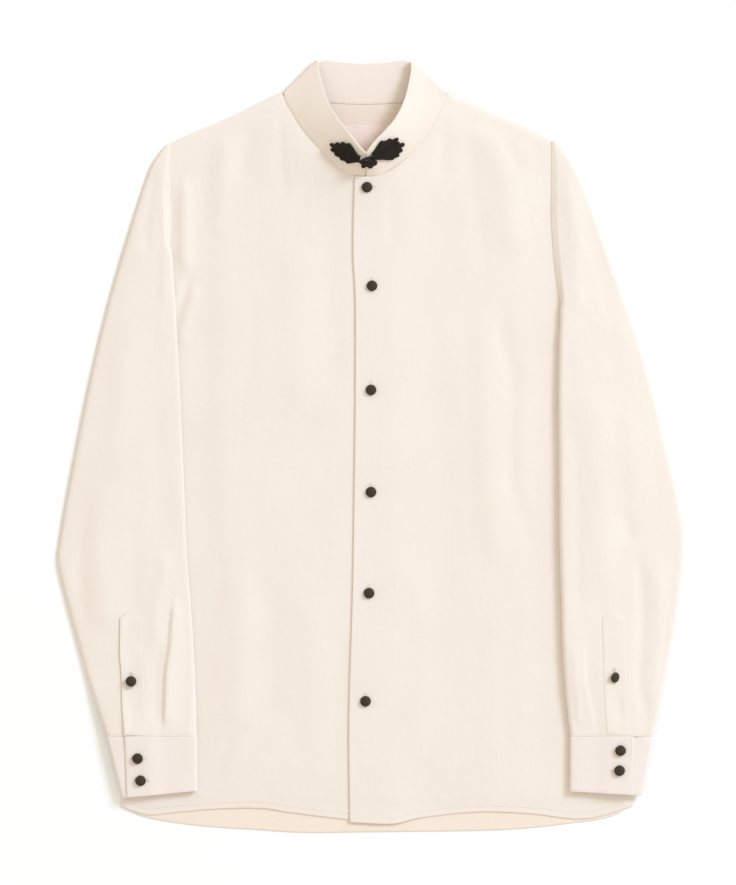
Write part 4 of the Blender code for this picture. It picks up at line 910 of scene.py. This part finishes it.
def make_sleeve(side):
    """Lofts the rows of one sleeve and gives every corner its place on the flat pattern."""
    marks = [SLEEVE[side][0][0] - 0.5, FOLD_START_Y[side], FOLD_START_Y[side] - FOLD_RUN, UNDERARM_Y,
             UNDERARM_Y - UNDERARM_RUN, SLEEVE_END_Y]
    ys = [marks[0]]
    for a, b in zip(marks, marks[1:]):
        ys += list(np.linspace(a, b, max(2, round((a - b) / ROW_STEP) + 1))[1:])
    places = []
    rows = []
    full = []
    for y in ys:
        flap, main, closed = sleeve_row(side, y)
        folded = min(1.0, max(0.0, (FOLD_START_Y[side] - y) / FOLD_RUN))
        full += [folded + (1 - folded) * min(1.0, k / 5) for k in range(len(main))]
        middle = len(main) // 2
        run = np.concatenate([[0], np.cumsum(np.hypot(*np.diff(np.array(main), axis=0).T))])
        run = run - run[middle]
        main_ids = list(range(len(places), len(places) + len(main)))
        places += [(side * out, y, z) for out, z in main]
        whole = []
        if flap:
            ids = [main_ids[-1]] if closed else [len(places)]
            rest = flap[1:] if closed else flap
            ids = ids[:1] if closed else []
            ids += list(range(len(places), len(places) + len(rest)))
            places += [(side * out, y, z) for out, z in rest]
            full += [1.0] * len(rest)
            chain = np.array(flap + [main[0]])
            back = np.concatenate([[0], np.cumsum(np.hypot(*np.diff(chain, axis=0).T))])
            whole = [list(zip(ids + [main_ids[0]], run[0] - back[-1] + back))]
        rows.append((y, list(zip(main_ids, run)), whole[0] if whole else []))
    faces = []
    cut = []
    for (y_a, main_a, flap_a), (y_b, main_b, flap_b) in zip(rows, rows[1:]):
        for strip_a, strip_b in ((main_a, main_b), (flap_a, flap_b)):
            if not strip_a or not strip_b:
                continue
            for (a, ua), (b, ub), (c, uc), (d, ud) in zip(strip_a, strip_a[1:], strip_b[1:], strip_b):
                faces.append([a, b, c, d])
                cut += [(ua, y_a), (ub, y_a), (uc, y_b), (ud, y_b)]
    name = f"sleeve_{WORD[side]}"
    pieces_of_cloth[name] = cloth_piece(
        name + "_cloth", places, faces, cut, crepe_finish, full, SEAM_WALL, CLOTH)


for side in (RIGHT, LEFT):
    make_sleeve(side)

# %% [markdown]
# ## Cuffs and sleeve plackets
#
# Each cuff is one fused strip, flattened, whose buttoned end laps over the other. Its path is drawn once across
# and repeated down the cuff. The strip over the slit of the sleeve has a pointed top and lies on the sleeve: its
# height is the sleeve's own height, moved out, so that it follows every fold beneath it.

# %% Cuffs
CUFF_WALL = 1.2
CUFF_TOP_Y = -290.6
CUFF = {
    RIGHT: {"outer": (264.0, 248.5), "inner": (175.0, 174.5), "lap": (LAP_OUT[RIGHT], 244.0),
            "bottom": (-352.0, -345.0)},
    LEFT: {"outer": (281.5, 270.0), "inner": (198.8, 198.5), "lap": (LAP_OUT[LEFT], 261.0),
           "bottom": (-349.5, -345.5)},
}


def cuff_size(side, key, share):
    """A cuff's edge between its top and its bottom."""
    top, bottom = CUFF[side][key]
    return top + (bottom - top) * share


def cuff_bottom(side, out):
    """Height y of the cuff's bottom edge."""
    ends = [cuff_size(side, "inner", 1), cuff_size(side, "outer", 1)]
    low_outer, low_inner = CUFF[side]["bottom"]
    return np.interp(out, ends, [low_inner, low_outer])


def cuff_path(side, share):
    """One row round a cuff, from the end that shows on top to the end hidden under it."""
    outer, inner, lap = (cuff_size(side, key, share) for key in ("outer", "inner", "lap"))
    radius = (CUFF_HIGH - CUFF_LOW) / 2
    middle = (CUFF_HIGH + CUFF_LOW) / 2
    path = [(out, OVER_LEVEL) for out in np.linspace(lap, lap - CUFF_OVERLAP - 1, 10)]
    path += [(lap - CUFF_OVERLAP - 7, (OVER_LEVEL + CUFF_HIGH) / 2)]
    path += [(out, CUFF_HIGH) for out in np.linspace(lap - CUFF_OVERLAP - 13, inner + radius + 6, 6)]
    turns = np.radians([90, 67, 45, 22, 0, -22, -45, -67, -90])
    path += [(inner + radius - radius * math.cos(a), middle + radius * math.sin(a)) for a in turns]
    path += [(out, CUFF_LOW) for out in np.linspace(inner + radius + 6, outer - radius - 6, 7)]
    path += [(outer - radius + radius * math.cos(a), middle + radius * math.sin(a)) for a in turns[::-1]]
    path += [(lap - CUFF_OVERLAP, CUFF_HIGH)]
    return path


def make_cuff(side):
    """One cuff: the same path, row by row, from the sleeve to the bottom edge."""
    rows = 17
    places = []
    cut = []
    for row in range(rows):
        share = row / (rows - 1)
        path = np.array(cuff_path(side, share))
        run = np.concatenate([[0], np.cumsum(np.hypot(*np.diff(path, axis=0).T))])
        wave = 0.12 * np.sin(path[:, 0] / 9.0 + row * 0.4)
        for (out, z), along, swell in zip(path, run, wave):
            y = CUFF_TOP_Y + (cuff_bottom(side, out) - CUFF_TOP_Y) * share
            places.append((side * out, y, z + (swell if z > CUFF_HIGH - 0.5 else 0)))
            cut.append((along, y))
    name = f"cuff_{WORD[side]}"
    faces = grid_faces(rows, len(path))
    pieces_of_cloth[name] = cloth_piece(
        name + "_cloth", places, faces, cut, band_finish, None, CUFF_WALL, CUFF_WALL + 0.1)


for side in (RIGHT, LEFT):
    make_cuff(side)

# %% Sleeve plackets
PLACKET_WIDTH = 22.0
PLACKET_LIFT = 0.60
PLACKET_PRESS = 0.02
PLACKET_WALL = 0.30
PLACKET_GAPE = 0.9        # the right sleeve's slit gapes a little along the strip's free edge
PLACKET_GAPE_RUN = 9.0
PLACKET = {
    RIGHT: [(-172.0, 251.0), (-209.0, 251.5), (-225.0, 250.0), (-264.0, 248.8), (-289.2, 246.6)],
    LEFT: [(-172.0, 252.5), (-209.0, 253.5), (-225.0, 254.0), (-264.0, 255.5), (-289.2, 257.5)],
}


def placket_height(side, x, y):
    """The sleeve's height moved out, least along the strip's sewn inner edge."""
    edge = np.array(PLACKET[side])
    across = np.interp(-np.asarray(y), -edge[:, 0], edge[:, 1]) - abs(np.asarray(x))
    lift = PLACKET_LIFT - PLACKET_PRESS * step_up(across / PLACKET_WIDTH)
    if side == RIGHT:
        lift = lift + PLACKET_GAPE * (1 - step_up(across / PLACKET_GAPE_RUN))
    return sleeve_top(side, abs(x), y) + lift


def make_sleeve_placket(side):
    """The pointed strip over the slit."""
    edge = smooth_curve(PLACKET[side], 3.0)
    outer = [(side * out, y) for y, out in edge]
    inner = [(side * (out - PLACKET_WIDTH), y) for y, out in edge[::-1]]
    top = [(side * (edge[0][1] - PLACKET_WIDTH / 2), edge[0][0] + 8.0)]
    flat, faces = fill_outline(join_outline(outer, inner, top), 3.0, (1.4,))
    places = np.column_stack([flat, placket_height(side, flat[:, 0], flat[:, 1])])
    name = f"sleeve_placket_{WORD[side]}"
    pieces_of_cloth[name] = cloth_piece(
        name + "_cloth", places, faces, flat, crepe_finish, None, PLACKET_WALL, PLACKET_WALL + 0.05)


for side in (RIGHT, LEFT):
    make_sleeve_placket(side)

# %% [markdown]
# ## The label
#
# A plain pink ribbon is sewn inside the back of the neck, with its two ends folded under. It is left bare. It is
# a single woven thickness, so a grid with a folded rim and a shallow bow between its stitched edges is enough.

# %% Label
LABEL_X = (-28.5, 20.5)
LABEL_Y = (281.0, 320.0)
LABEL_REST = 2.0

xs = np.linspace(*LABEL_X, 34)
ys = np.linspace(*LABEL_Y, 27)
places = []
cut = []
for y in ys:
    for x in xs:
        across = (x - LABEL_X[0]) / (LABEL_X[1] - LABEL_X[0])
        up = (y - LABEL_Y[0]) / (LABEL_Y[1] - LABEL_Y[0])
        bow = 0.35 * math.sin(math.pi * across) * (1 - up) + 0.08 * math.sin(across * 21) * math.sin(up * 9)
        places.append((x, y, LABEL_REST + max(-0.1, bow)))
        cut.append((x, y))
rim = [1.0 if min(x - LABEL_X[0], LABEL_X[1] - x) < 4.5 else 0.0 for x, y in cut]
label = cloth_piece("label_ribbon", places, grid_faces(len(ys), len(xs)), cut, label_finish, rim, 0.35, 0.75)
pieces_of_cloth["neck_label"] = label

# %% [markdown]
# ## The frog
#
# The fastening at the throat is a pair of leaves, made of padded petals bound with black cord, that meet in a
# knot. Each petal is a tapered roll which runs from the root to a round tip, and their tips make the scalloped
# rim. They all follow one rule, so Geometry Nodes build them: the tree takes curves, sets a radius along each by
# a float curve, and sweeps a round profile whose ridges are the turns of cord. The leaves follow the collar, so
# each point is first dropped onto the collar's surface.

# %% Frog paths
# Each petal's round tip, and its radius there. The petals of a wing meet at its root, beside the knot.
FROG_WINGS = {
    RIGHT: {"root": ((-10.9, 288.6), (-11.7, 283.6)), "bend": 2.6,
            "tips": [(-23.6, 301.2, 2.0), (-29.6, 302.4, 2.1), (-35.4, 302.0, 2.1), (-41.2, 301.2, 2.2),
                     (-40.4, 296.0, 2.3), (-36.4, 291.6, 2.3), (-31.2, 287.2, 2.3), (-25.0, 283.6, 2.0)]},
    LEFT: {"root": ((-0.2, 290.6), (4.2, 285.6)), "bend": 0.4,
           "tips": [(11.4, 303.6, 2.1), (19.4, 305.8, 2.2), (26.4, 306.4, 2.3), (32.6, 301.2, 2.4),
                    (30.8, 295.2, 2.3), (27.4, 290.4, 2.3), (22.4, 287.4, 2.1)]},
}
FILL_SHARES = (0.50, 0.74, 0.93)   # how far the shorter petals that fill the leaf reach towards their tips
KNOT_MIDDLE = (-3.9, 283.6)

collar_form = bmesh.new()
collar_form.from_mesh(pieces_of_cloth["collar"].data)
collar_surface = BVHTree.FromBMesh(collar_form)
collar_form.free()


def on_collar(x, y, lift):
    """A place above the collar's outer face, in millimetres, and how the face leans."""
    hit, normal, _, _ = collar_surface.ray_cast(Vector((x * MM, y * MM, 0.2)), Vector((0, 0, -1)))
    if hit is None or hit.z < 0.004:
        hit, normal, _, _ = collar_surface.find_nearest(Vector((x * MM, y * MM, 0.016)))
    normal = normal if normal.z > 0 else -normal
    return (hit + normal * lift * MM) / MM


def petal_path(root, tip, start_side):
    """A petal's middle line: it leaves the root along the wing and bends out to its tip."""
    root, tip = np.array(root, float), np.array(tip, float)
    way = tip - root
    across = np.array([-way[1], way[0]]) / np.linalg.norm(way)
    share = np.linspace(0, 1, 16)[:, None]
    return root + way * share + across * start_side * (1 - share) ** 2 * np.minimum(1, share * 6)


petals = {RIGHT: [], LEFT: []}
for side, wing in FROG_WINGS.items():
    tips = wing["tips"]
    high, low = np.array(wing["root"])
    for number, (x, y, radius) in enumerate(tips):
        down = number / (len(tips) - 1)
        lift = 1.25 + 0.25 * (number % 2)
        path = petal_path(high + (low - high) * down, (x, y), wing["bend"] * (1 - down) * -side)
        petals[side].append(([on_collar(*place, lift) for place in path], radius))
    for layer, share in enumerate(FILL_SHARES):
        for number, ((x0, y0, r0), (x1, y1, r1)) in enumerate(zip(tips, tips[1:])):
            down = (number + 0.5) / (len(tips) - 1)
            root = high + (low - high) * down
            tip = root + (np.array([(x0 + x1) / 2, (y0 + y1) / 2]) - root) * share
            path = petal_path(root, tip, wing["bend"] * (1 - down) * -side * share)
            petals[side].append(([on_collar(*place, 2.0 - 0.35 * layer) for place in path], 1.8))
print("petals:", len(petals[RIGHT]), len(petals[LEFT]))


# %% Petal tree
def tree_of(name, sizes):
    """An empty Geometry Nodes tree with a geometry input, named sizes and a geometry output."""
    tree = bpy.data.node_groups.new(name, "GeometryNodeTree")
    tree.interface.new_socket("Geometry", in_out="INPUT", socket_type="NodeSocketGeometry")
    for size in sizes:
        tree.interface.new_socket(size, in_out="INPUT", socket_type="NodeSocketFloat")
    tree.interface.new_socket("Finish", in_out="INPUT", socket_type="NodeSocketMaterial")
    tree.interface.new_socket("Geometry", in_out="OUTPUT", socket_type="NodeSocketGeometry")
    start = tree.nodes.new("NodeGroupInput").outputs
    end = tree.nodes.new("NodeGroupOutput").inputs
    return tree, start, end


def finish_tree(tree, geometry, start, end):
    """Ends a tree with realized instances and its material."""
    real = put(tree, "GeometryNodeRealizeInstances", {"Geometry": geometry})
    dressed = put(tree, "GeometryNodeSetMaterial", {"Geometry": real.outputs[0], "Material": start["Finish"]})
    tree.links.new(dressed.outputs[0], end["Geometry"])


roll_tree, start, end = tree_of("wrapped_roll", ["Radius", "Step", "Turn Length", "Turn Depth", "Root Share"])
fine = put(roll_tree, "GeometryNodeResampleCurve", {"Curve": start["Geometry"], "Length": start["Step"]},
           mode="LENGTH")
where = put(roll_tree, "GeometryNodeSplineParameter", {})
swell = put(roll_tree, "ShaderNodeFloatCurve", {"Value": where.outputs["Factor"]})
points = swell.mapping.curves[0].points
points[0].location = (0.0, 0.34)
points[1].location = (1.0, 0.05)
for spot in ((0.35, 0.55), (0.62, 0.86), (0.82, 1.0), (0.93, 0.86), (0.985, 0.45)):
    points.new(*spot)
swell.mapping.update()
even = put(roll_tree, "ShaderNodeMix", {0: start["Root Share"], 2: swell.outputs[0], 3: 1.0}, data_type="FLOAT")
phase = put(roll_tree, "ShaderNodeMath", {0: where.outputs["Length"], 1: start["Turn Length"]}, operation="DIVIDE")
angle = put(roll_tree, "ShaderNodeMath", {0: phase.outputs[0], 1: 2 * math.pi}, operation="MULTIPLY")
wave = put(roll_tree, "ShaderNodeMath", {0: angle.outputs[0]}, operation="SINE")
ridge = put(roll_tree, "ShaderNodeMath", {0: wave.outputs[0], 1: start["Turn Depth"], 2: 1.0},
            operation="MULTIPLY_ADD")
scale = put(roll_tree, "ShaderNodeMath", {0: even.outputs[0], 1: ridge.outputs[0]}, operation="MULTIPLY")
own = put(roll_tree, "GeometryNodeInputRadius", {})
share = put(roll_tree, "ShaderNodeMath", {0: scale.outputs[0], 1: own.outputs[0]}, operation="MULTIPLY")
width = put(roll_tree, "ShaderNodeMath", {0: share.outputs[0], 1: start["Radius"]}, operation="MULTIPLY")
ring = put(roll_tree, "GeometryNodeCurvePrimitiveCircle", {"Resolution": 10, "Radius": 1.0})
roll = put(roll_tree, "GeometryNodeCurveToMesh", {"Curve": fine.outputs[0], "Profile Curve": ring.outputs["Curve"],
                                                  "Scale": width.outputs[0], "Fill Caps": True})
finish_tree(roll_tree, roll.outputs[0], start, end)


def grow(name, paths, tree, sizes, finish, radii=None):
    """Runs a tree over curves through the paths and keeps the result as a plain mesh."""
    data = bpy.data.curves.new(name, "CURVE")
    data.dimensions = "3D"
    for path, radius in zip(paths, radii or [1.0] * len(paths)):
        line = data.splines.new("POLY")
        line.points.add(len(path) - 1)
        for point, place in zip(line.points, path):
            point.co = (*(c * MM for c in place), 1)
            point.radius = radius
    guide = bpy.data.objects.new(name + "_guide", data)
    bpy.context.scene.collection.objects.link(guide)
    grower = guide.modifiers.new(name, "NODES")
    grower.node_group = tree
    sockets = {item.name: item.identifier for item in tree.interface.items_tree if item.in_out == "INPUT"}
    for size, value in sizes.items():
        grower[sockets[size]] = value
    grower[sockets["Finish"]] = finish
    bpy.context.view_layer.update()
    result = guide.evaluated_get(bpy.context.evaluated_depsgraph_get())
    mesh = bpy.data.meshes.new_from_object(result)
    mesh.name = name
    bpy.data.objects.remove(guide)
    bpy.data.curves.remove(data)
    mesh.shade_smooth()
    mesh.set_sharp_from_angle(angle=math.radians(60))
    piece = bpy.data.objects.new(name, mesh)
    bpy.context.scene.collection.objects.link(piece)
    print(name, "faces", len(mesh.polygons))
    return piece


# %% Leaves and knot
PETAL_SIZES = {"Radius": 1.0 * MM, "Step": 0.24 * MM, "Turn Length": 0.95 * MM, "Turn Depth": 0.05,
               "Root Share": 0.0}
wings = {}
for side, own in petals.items():
    paths = [path for path, radius in own]
    radii = [radius for path, radius in own]
    wings[side] = grow(f"frog_leaf_{WORD[side]}", paths, roll_tree, PETAL_SIZES, cord_finish, radii)

knot_seat = on_collar(*KNOT_MIDDLE, 3.2)
lean = (on_collar(*KNOT_MIDDLE, 4.2) - knot_seat).normalized()
across = Vector((1, 0.12, 0)).cross(lean).cross(lean).normalized() * -1
upward = lean.cross(across)


def knot_ring(middle, radii, turn, tilt, count=40):
    """A closed turn of cord in the knot: an ellipse, turned in its own plane and tilted."""
    spin = Matrix.Rotation(tilt, 3, across) @ Matrix.Rotation(turn, 3, lean)
    points = []
    for angle in np.linspace(0, 2 * math.pi, count, endpoint=True):
        flat_place = across * (radii[0] * math.cos(angle)) + upward * (radii[1] * math.sin(angle))
        points.append(tuple(knot_seat + across * middle[0] + upward * middle[1] + lean * middle[2]
                            + spin @ flat_place))
    return points


# Middle across, up and out, then both half sizes, turn and tilt of each turn of cord: three lobes hang below a
# band that joins the roots of the wings, and two turns cross over the middle.
KNOT_RINGS = [
    ((-4.9, -1.0, 0.0), (1.7, 3.0), -0.5, 0.1), ((1.4, -3.2, 0.2), (2.3, 3.2), 0.1, 0.1),
    ((5.2, -1.6, 0.2), (1.9, 3.2), 0.5, 0.1), ((-0.8, 3.2, 0.1), (8.0, 2.2), 0.04, 0.1),
    ((-1.5, -1.4, 1.1), (3.6, 1.7), -0.7, 0.3), ((2.8, -0.6, 1.5), (3.4, 1.8), 0.75, 0.35),
    ((0.4, -0.2, 2.0), (2.0, 3.0), 0.3, 0.1),
]
KNOT_SIZES = {"Radius": 1.4 * MM, "Step": 0.24 * MM, "Turn Length": 0.95 * MM, "Turn Depth": 0.06,
              "Root Share": 1.0}
knot = grow("frog_knot_cord", [knot_ring(*row) for row in KNOT_RINGS], roll_tree, KNOT_SIZES, cord_finish)

# %% [markdown]
# ## Buttons
#
# Twelve domed buttons covered in satin. A turned profile, spun round its axis, gives the dome, the rolled rim
# and the hollow underside; a short wound shank of thread carries it on the cloth. Each is set over its solid and
# leans with the cloth. The one on the left sleeve's placket hangs tilted, as buttons with a loose shank do.

# %% Buttons
BUTTON_RADIUS = 5.35
BUTTON_DROP = 0.5         # the real cloth is thinner than its solid, so the button sits this much lower
BUTTON_HEIGHT = 3.8
BUTTON_TURNS = 40
BUTTON_LEAN_AXIS = (0.3, 1.0, 0.0)
BUTTON_PROFILE = [(0.0, 1.0), (0.22, 0.985), (0.45, 0.93), (0.66, 0.83), (0.83, 0.67), (0.94, 0.48), (1.0, 0.30),
                  (0.985, 0.18), (0.93, 0.12), (0.80, 0.15), (0.55, 0.20), (0.30, 0.20), (0.22, 0.10), (0.20, 0.0),
                  (0.0, 0.0)]


def make_button(node, height, lean_by=0.0):
    """One covered button in the place of its solid."""
    low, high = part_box(node)
    x, y = (low.x + high.x) / 2 / MM, (low.y + high.y) / 2 / MM
    slope = Vector((float(height(x - 4, y) - height(x + 4, y)), float(height(x, y - 4) - height(x, y + 4)), 8))
    turn = slope.normalized().to_track_quat("Z", "Y").to_matrix().to_4x4()
    tilt = Matrix.Rotation(lean_by, 4, Vector(BUTTON_LEAN_AXIS))
    form = bmesh.new()
    profile = [form.verts.new((r * BUTTON_RADIUS * MM, 0, z * BUTTON_HEIGHT * MM)) for r, z in BUTTON_PROFILE]
    edges = [form.edges.new(pair) for pair in zip(profile, profile[1:])]
    bmesh.ops.spin(form, geom=profile + edges, cent=(0, 0, 0), axis=(0, 0, 1), angle=2 * math.pi,
                   steps=BUTTON_TURNS, use_duplicate=False)
    bmesh.ops.remove_doubles(form, verts=form.verts, dist=0.00002)
    bmesh.ops.recalc_face_normals(form, faces=form.faces)
    seat = (low.z + high.z) / 2 - (BUTTON_HEIGHT / 2 + BUTTON_DROP) * MM
    middle = Vector(((low.x + high.x) / 2, (low.y + high.y) / 2, seat))
    form.transform(Matrix.Translation(middle) @ tilt @ turn)
    mesh = bpy.data.meshes.new(node + "_cover")
    form.to_mesh(mesh)
    form.free()
    mesh.materials.append(button_finish)
    mesh.shade_smooth()
    mesh.set_sharp_from_angle(angle=math.radians(50))
    piece = bpy.data.objects.new(node + "_cover", mesh)
    bpy.context.scene.collection.objects.link(piece)
    return piece


buttons = {}
for node in sorted(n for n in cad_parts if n.startswith("button_front")):
    buttons[node] = make_button(node, left_front_height)
for side in (RIGHT, LEFT):
    for number in (1, 2):
        node = f"button_cuff_{WORD[side]}_{number}"
        buttons[node] = make_button(node, lambda x, y: CUFF_OVER)
    node = f"button_placket_{WORD[side]}"
    lean_by = 0.0 if side == RIGHT else math.radians(38)
    buttons[node] = make_button(node, lambda x, y: sleeve_top(side, abs(x), y), lean_by)
print("buttons:", len(buttons))

# %% [markdown]
# ## Sewing
#
# Every seam that shows is a row of small stitches in cream thread: the hems, the edges of collar, cuffs, plackets
# and label. Thousands of them follow paths, which is what Geometry Nodes do best: resample a path at the stitch
# pitch, put a tiny rounded stitch at each point, and turn it along the path. The same tree makes buttonholes: a
# closer pitch and a stitch that is longer across the path than along it give the dense satin bars round a slit.

# %% Stitch tree
stitch_tree, start, end = tree_of("row_of_stitches", ["Pitch", "Along", "Across", "Height"])
spots = put(stitch_tree, "GeometryNodeResampleCurve", {"Curve": start["Geometry"], "Length": start["Pitch"]},
            mode="LENGTH")
ball = put(stitch_tree, "GeometryNodeMeshUVSphere", {"Segments": 6, "Rings": 4, "Radius": 0.5})
size = put(stitch_tree, "ShaderNodeCombineXYZ", {0: start["Along"], 1: start["Across"], 2: start["Height"]})
stitch = put(stitch_tree, "GeometryNodeTransform", {"Geometry": ball.outputs[0], "Scale": size.outputs[0]})
ahead = put(stitch_tree, "GeometryNodeInputTangent", {})
turn = put(stitch_tree, "FunctionNodeAlignRotationToVector", {"Vector": ahead.outputs[0]}, axis="X")
sewn = put(stitch_tree, "GeometryNodeInstanceOnPoints",
           {"Points": spots.outputs[0], "Instance": stitch.outputs[0], "Rotation": turn.outputs[0]})
finish_tree(stitch_tree, sewn.outputs[0], start, end)


# %% Stitch paths
def lay(points, height, lift):
    """A flat path lifted onto a piece of cloth."""
    p = np.array(points, float)
    return np.column_stack([p, height(p[:, 0], p[:, 1]) + lift]).tolist()


STITCH_LIFT = DOUBLED / 2 + 0.05
seams = []
seams.append(lay(shifted(smooth_curve(FRONT_HEM[RIGHT], 5.0), HEM - 1)[2:-2], front_height, STITCH_LIFT))
seams.append(lay(shifted(smooth_curve(FRONT_HEM[LEFT], 5.0), -HEM + 1)[2:-1], left_front_height, STITCH_LIFT))
for side in (RIGHT, LEFT):
    edge = smooth_curve(PLACKET[side], 4.0)
    for inset in (2.0, PLACKET_WIDTH - 2.0):
        line = [(side * (out - inset), y) for y, out in edge[:-1]]
        seams.append(lay(line, lambda x, y: placket_height(side, x, y), PLACKET_WALL / 2))
    for y in (-176.0, -184.0):
        out = float(np.interp(y, [-209.0, -172.0], [PLACKET[side][1][1], PLACKET[side][0][1]]))
        line = [(side * (out - inset), y) for inset in np.linspace(2.0, PLACKET_WIDTH - 2.0, 6)]
        seams.append(lay(line, lambda x, y: placket_height(side, x, y), PLACKET_WALL / 2))
for side in (RIGHT, LEFT):
    top_edge = []
    for share in np.linspace(0.04, 0.955, 18):
        out = cuff_size(side, "lap", share) - 2.2
        top_edge.append((side * out, CUFF_TOP_Y + (float(cuff_bottom(side, out)) - CUFF_TOP_Y) * share))
    seams.append(lay(top_edge, lambda x, y: OVER_LEVEL + 0 * x, CUFF_WALL / 2 + 0.1))
    for share in (0.045, 0.955):
        for first, last, level in ((2.2, CUFF_OVERLAP, OVER_LEVEL), (CUFF_OVERLAP + 13.5, None, CUFF_HIGH)):
            lap, inner = cuff_size(side, "lap", share), cuff_size(side, "inner", share)
            outs = np.linspace(lap - first, inner + 4 if last is None else lap - last, 12)
            line = [(side * out, CUFF_TOP_Y + (float(cuff_bottom(side, out)) - CUFF_TOP_Y) * share) for out in outs]
            seams.append(lay(line, lambda x, y: level + 0 * x, CUFF_WALL / 2 + 0.1))
x0, x1, y0, y1 = *LABEL_X, *LABEL_Y
for ends in (((x0 + 1.2, y1 - 1.2), (x1 - 1.2, y1 - 1.2)), ((x0 + 1.2, y0 + 1.2), (x0 + 1.2, y1 - 1.2)),
             ((x1 - 1.2, y0 + 1.2), (x1 - 1.2, y1 - 1.2)), ((x0 + 1.2, y0 + 1.2), (x1 - 1.2, y0 + 1.2))):
    seams.append([(x, y, LABEL_REST + 0.42) for x, y in ends])

# The collar's edge stitches follow its own grid, a little in from the free edge and from the seam.
for level in (1, len(levels) - 2):
    upper_face = []
    for row in range(2, len(collar_places) - 2):
        before, here, after = collar_places[row - 1, level], collar_places[row, level], collar_places[row + 1, level]
        rise = collar_places[row, level + (1 if level == 1 else -1)] - here
        face = np.cross(after - before, rise if level == 1 else -rise)
        face /= max(1e-6, np.linalg.norm(face))
        if here[2] > 3.0:
            upper_face.append(tuple(here + face * math.copysign(COLLAR_WALL / 2 + 0.1, face[2])))
        elif upper_face:
            seams.append(upper_face)
            upper_face = []
    seams.append(upper_face)

STITCH_SIZES = {"Pitch": 2.6 * MM, "Along": 1.9 * MM, "Across": 0.42 * MM, "Height": 0.22 * MM}
stitching = grow("edge_stitches", [path for path in seams if len(path) > 1], stitch_tree, STITCH_SIZES, thread_finish)

# %% Buttonholes
HOLE_LENGTH = 14.0
HOLE_GAP = 0.95


def buttonhole(node, across, height, lift, reach):
    """The oval path of bars round a slit, which shows for a short way beyond the button."""
    low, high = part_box(node)
    x, y = (low.x + high.x) / 2 / MM, (low.y + high.y) / 2 / MM
    way = np.array(across, float)
    side_way = np.array([-way[1], way[0]])
    path = []
    start_at, end_at = reach - HOLE_LENGTH, reach
    for angle in np.linspace(0, 2 * math.pi, 49):
        middle = end_at if math.cos(angle) > 0 else start_at
        along = middle + HOLE_GAP * math.cos(angle)
        path.append(np.array([x, y]) + way * along + side_way * HOLE_GAP * math.sin(angle))
    return lay(path, height, lift)


holes = []
front_reach = BUTTON_RADIUS + 2.6
for node in sorted(n for n in buttons if n.startswith("button_front")):
    across = (1, 0) if node.endswith("_1") else (0, 1)
    holes.append(buttonhole(node, across, left_front_height, DOUBLED / 2 + 0.02, front_reach))
for side in (RIGHT, LEFT):
    for number in (1, 2):
        node = f"button_cuff_{WORD[side]}_{number}"
        holes.append(buttonhole(node, (-side, 0), lambda x, y: OVER_LEVEL + 0 * x, CUFF_WALL / 2 + 0.05,
                                front_reach))
    holes.append(buttonhole(f"button_placket_{WORD[side]}", (0, 1), lambda x, y: placket_height(side, x, y),
                            CLOTH / 2 + 0.02, front_reach))
HOLE_SIZES = {"Pitch": 0.42 * MM, "Along": 0.4 * MM, "Across": 1.5 * MM, "Height": 0.4 * MM}
buttonholes = grow("buttonhole_bars", holes, stitch_tree, HOLE_SIZES, thread_finish)

# %% [markdown]
# ## Fastening everything to the shirt
#
# Every new piece rides on the one rigid body and takes the place of its solid, which is hidden. For each piece
# of cloth the size of the flat cut that shows is printed: all round on a sleeve.

# %% Bodies and flat cuts
FUSED_PIECES = ("collar", "cuff_right", "cuff_left")


def flat_cut(piece):
    """Width, length and area of a piece's flat pattern, from its UV map and its own surface."""
    uv = np.zeros(len(piece.data.loops) * 2)
    piece.data.uv_layers["cut"].data.foreach_get("uv", uv)
    width, length = np.ptp(uv.reshape(-1, 2), axis=0)
    area = sum(face.area for face in piece.data.polygons) / 2
    return float(width), float(length), float(area)


def belongs(piece, slot, *nodes):
    """A piece rides on the shirt's body and hides the solids it stands for. The slot is not used."""
    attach(piece, "root")
    if nodes:
        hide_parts(*nodes)


for node, piece in pieces_of_cloth.items():
    slot = "fused_cloth" if node in FUSED_PIECES else "crepe_cloth"
    belongs(piece, "label_weave" if node == "neck_label" else slot, node)
    width, length, area = flat_cut(piece)
    print(node, "flat", round(width, 3), "x", round(length, 3), "m, area", round(area, 4))
for side, wing in wings.items():
    belongs(wing, "black_cord", f"frog_wing_{WORD[side]}")
belongs(knot, "black_cord", "frog_knot")
for node, button in buttons.items():
    belongs(button, "covered_button", node)
belongs(stitching, "crepe_cloth")
belongs(buttonholes, "crepe_cloth")
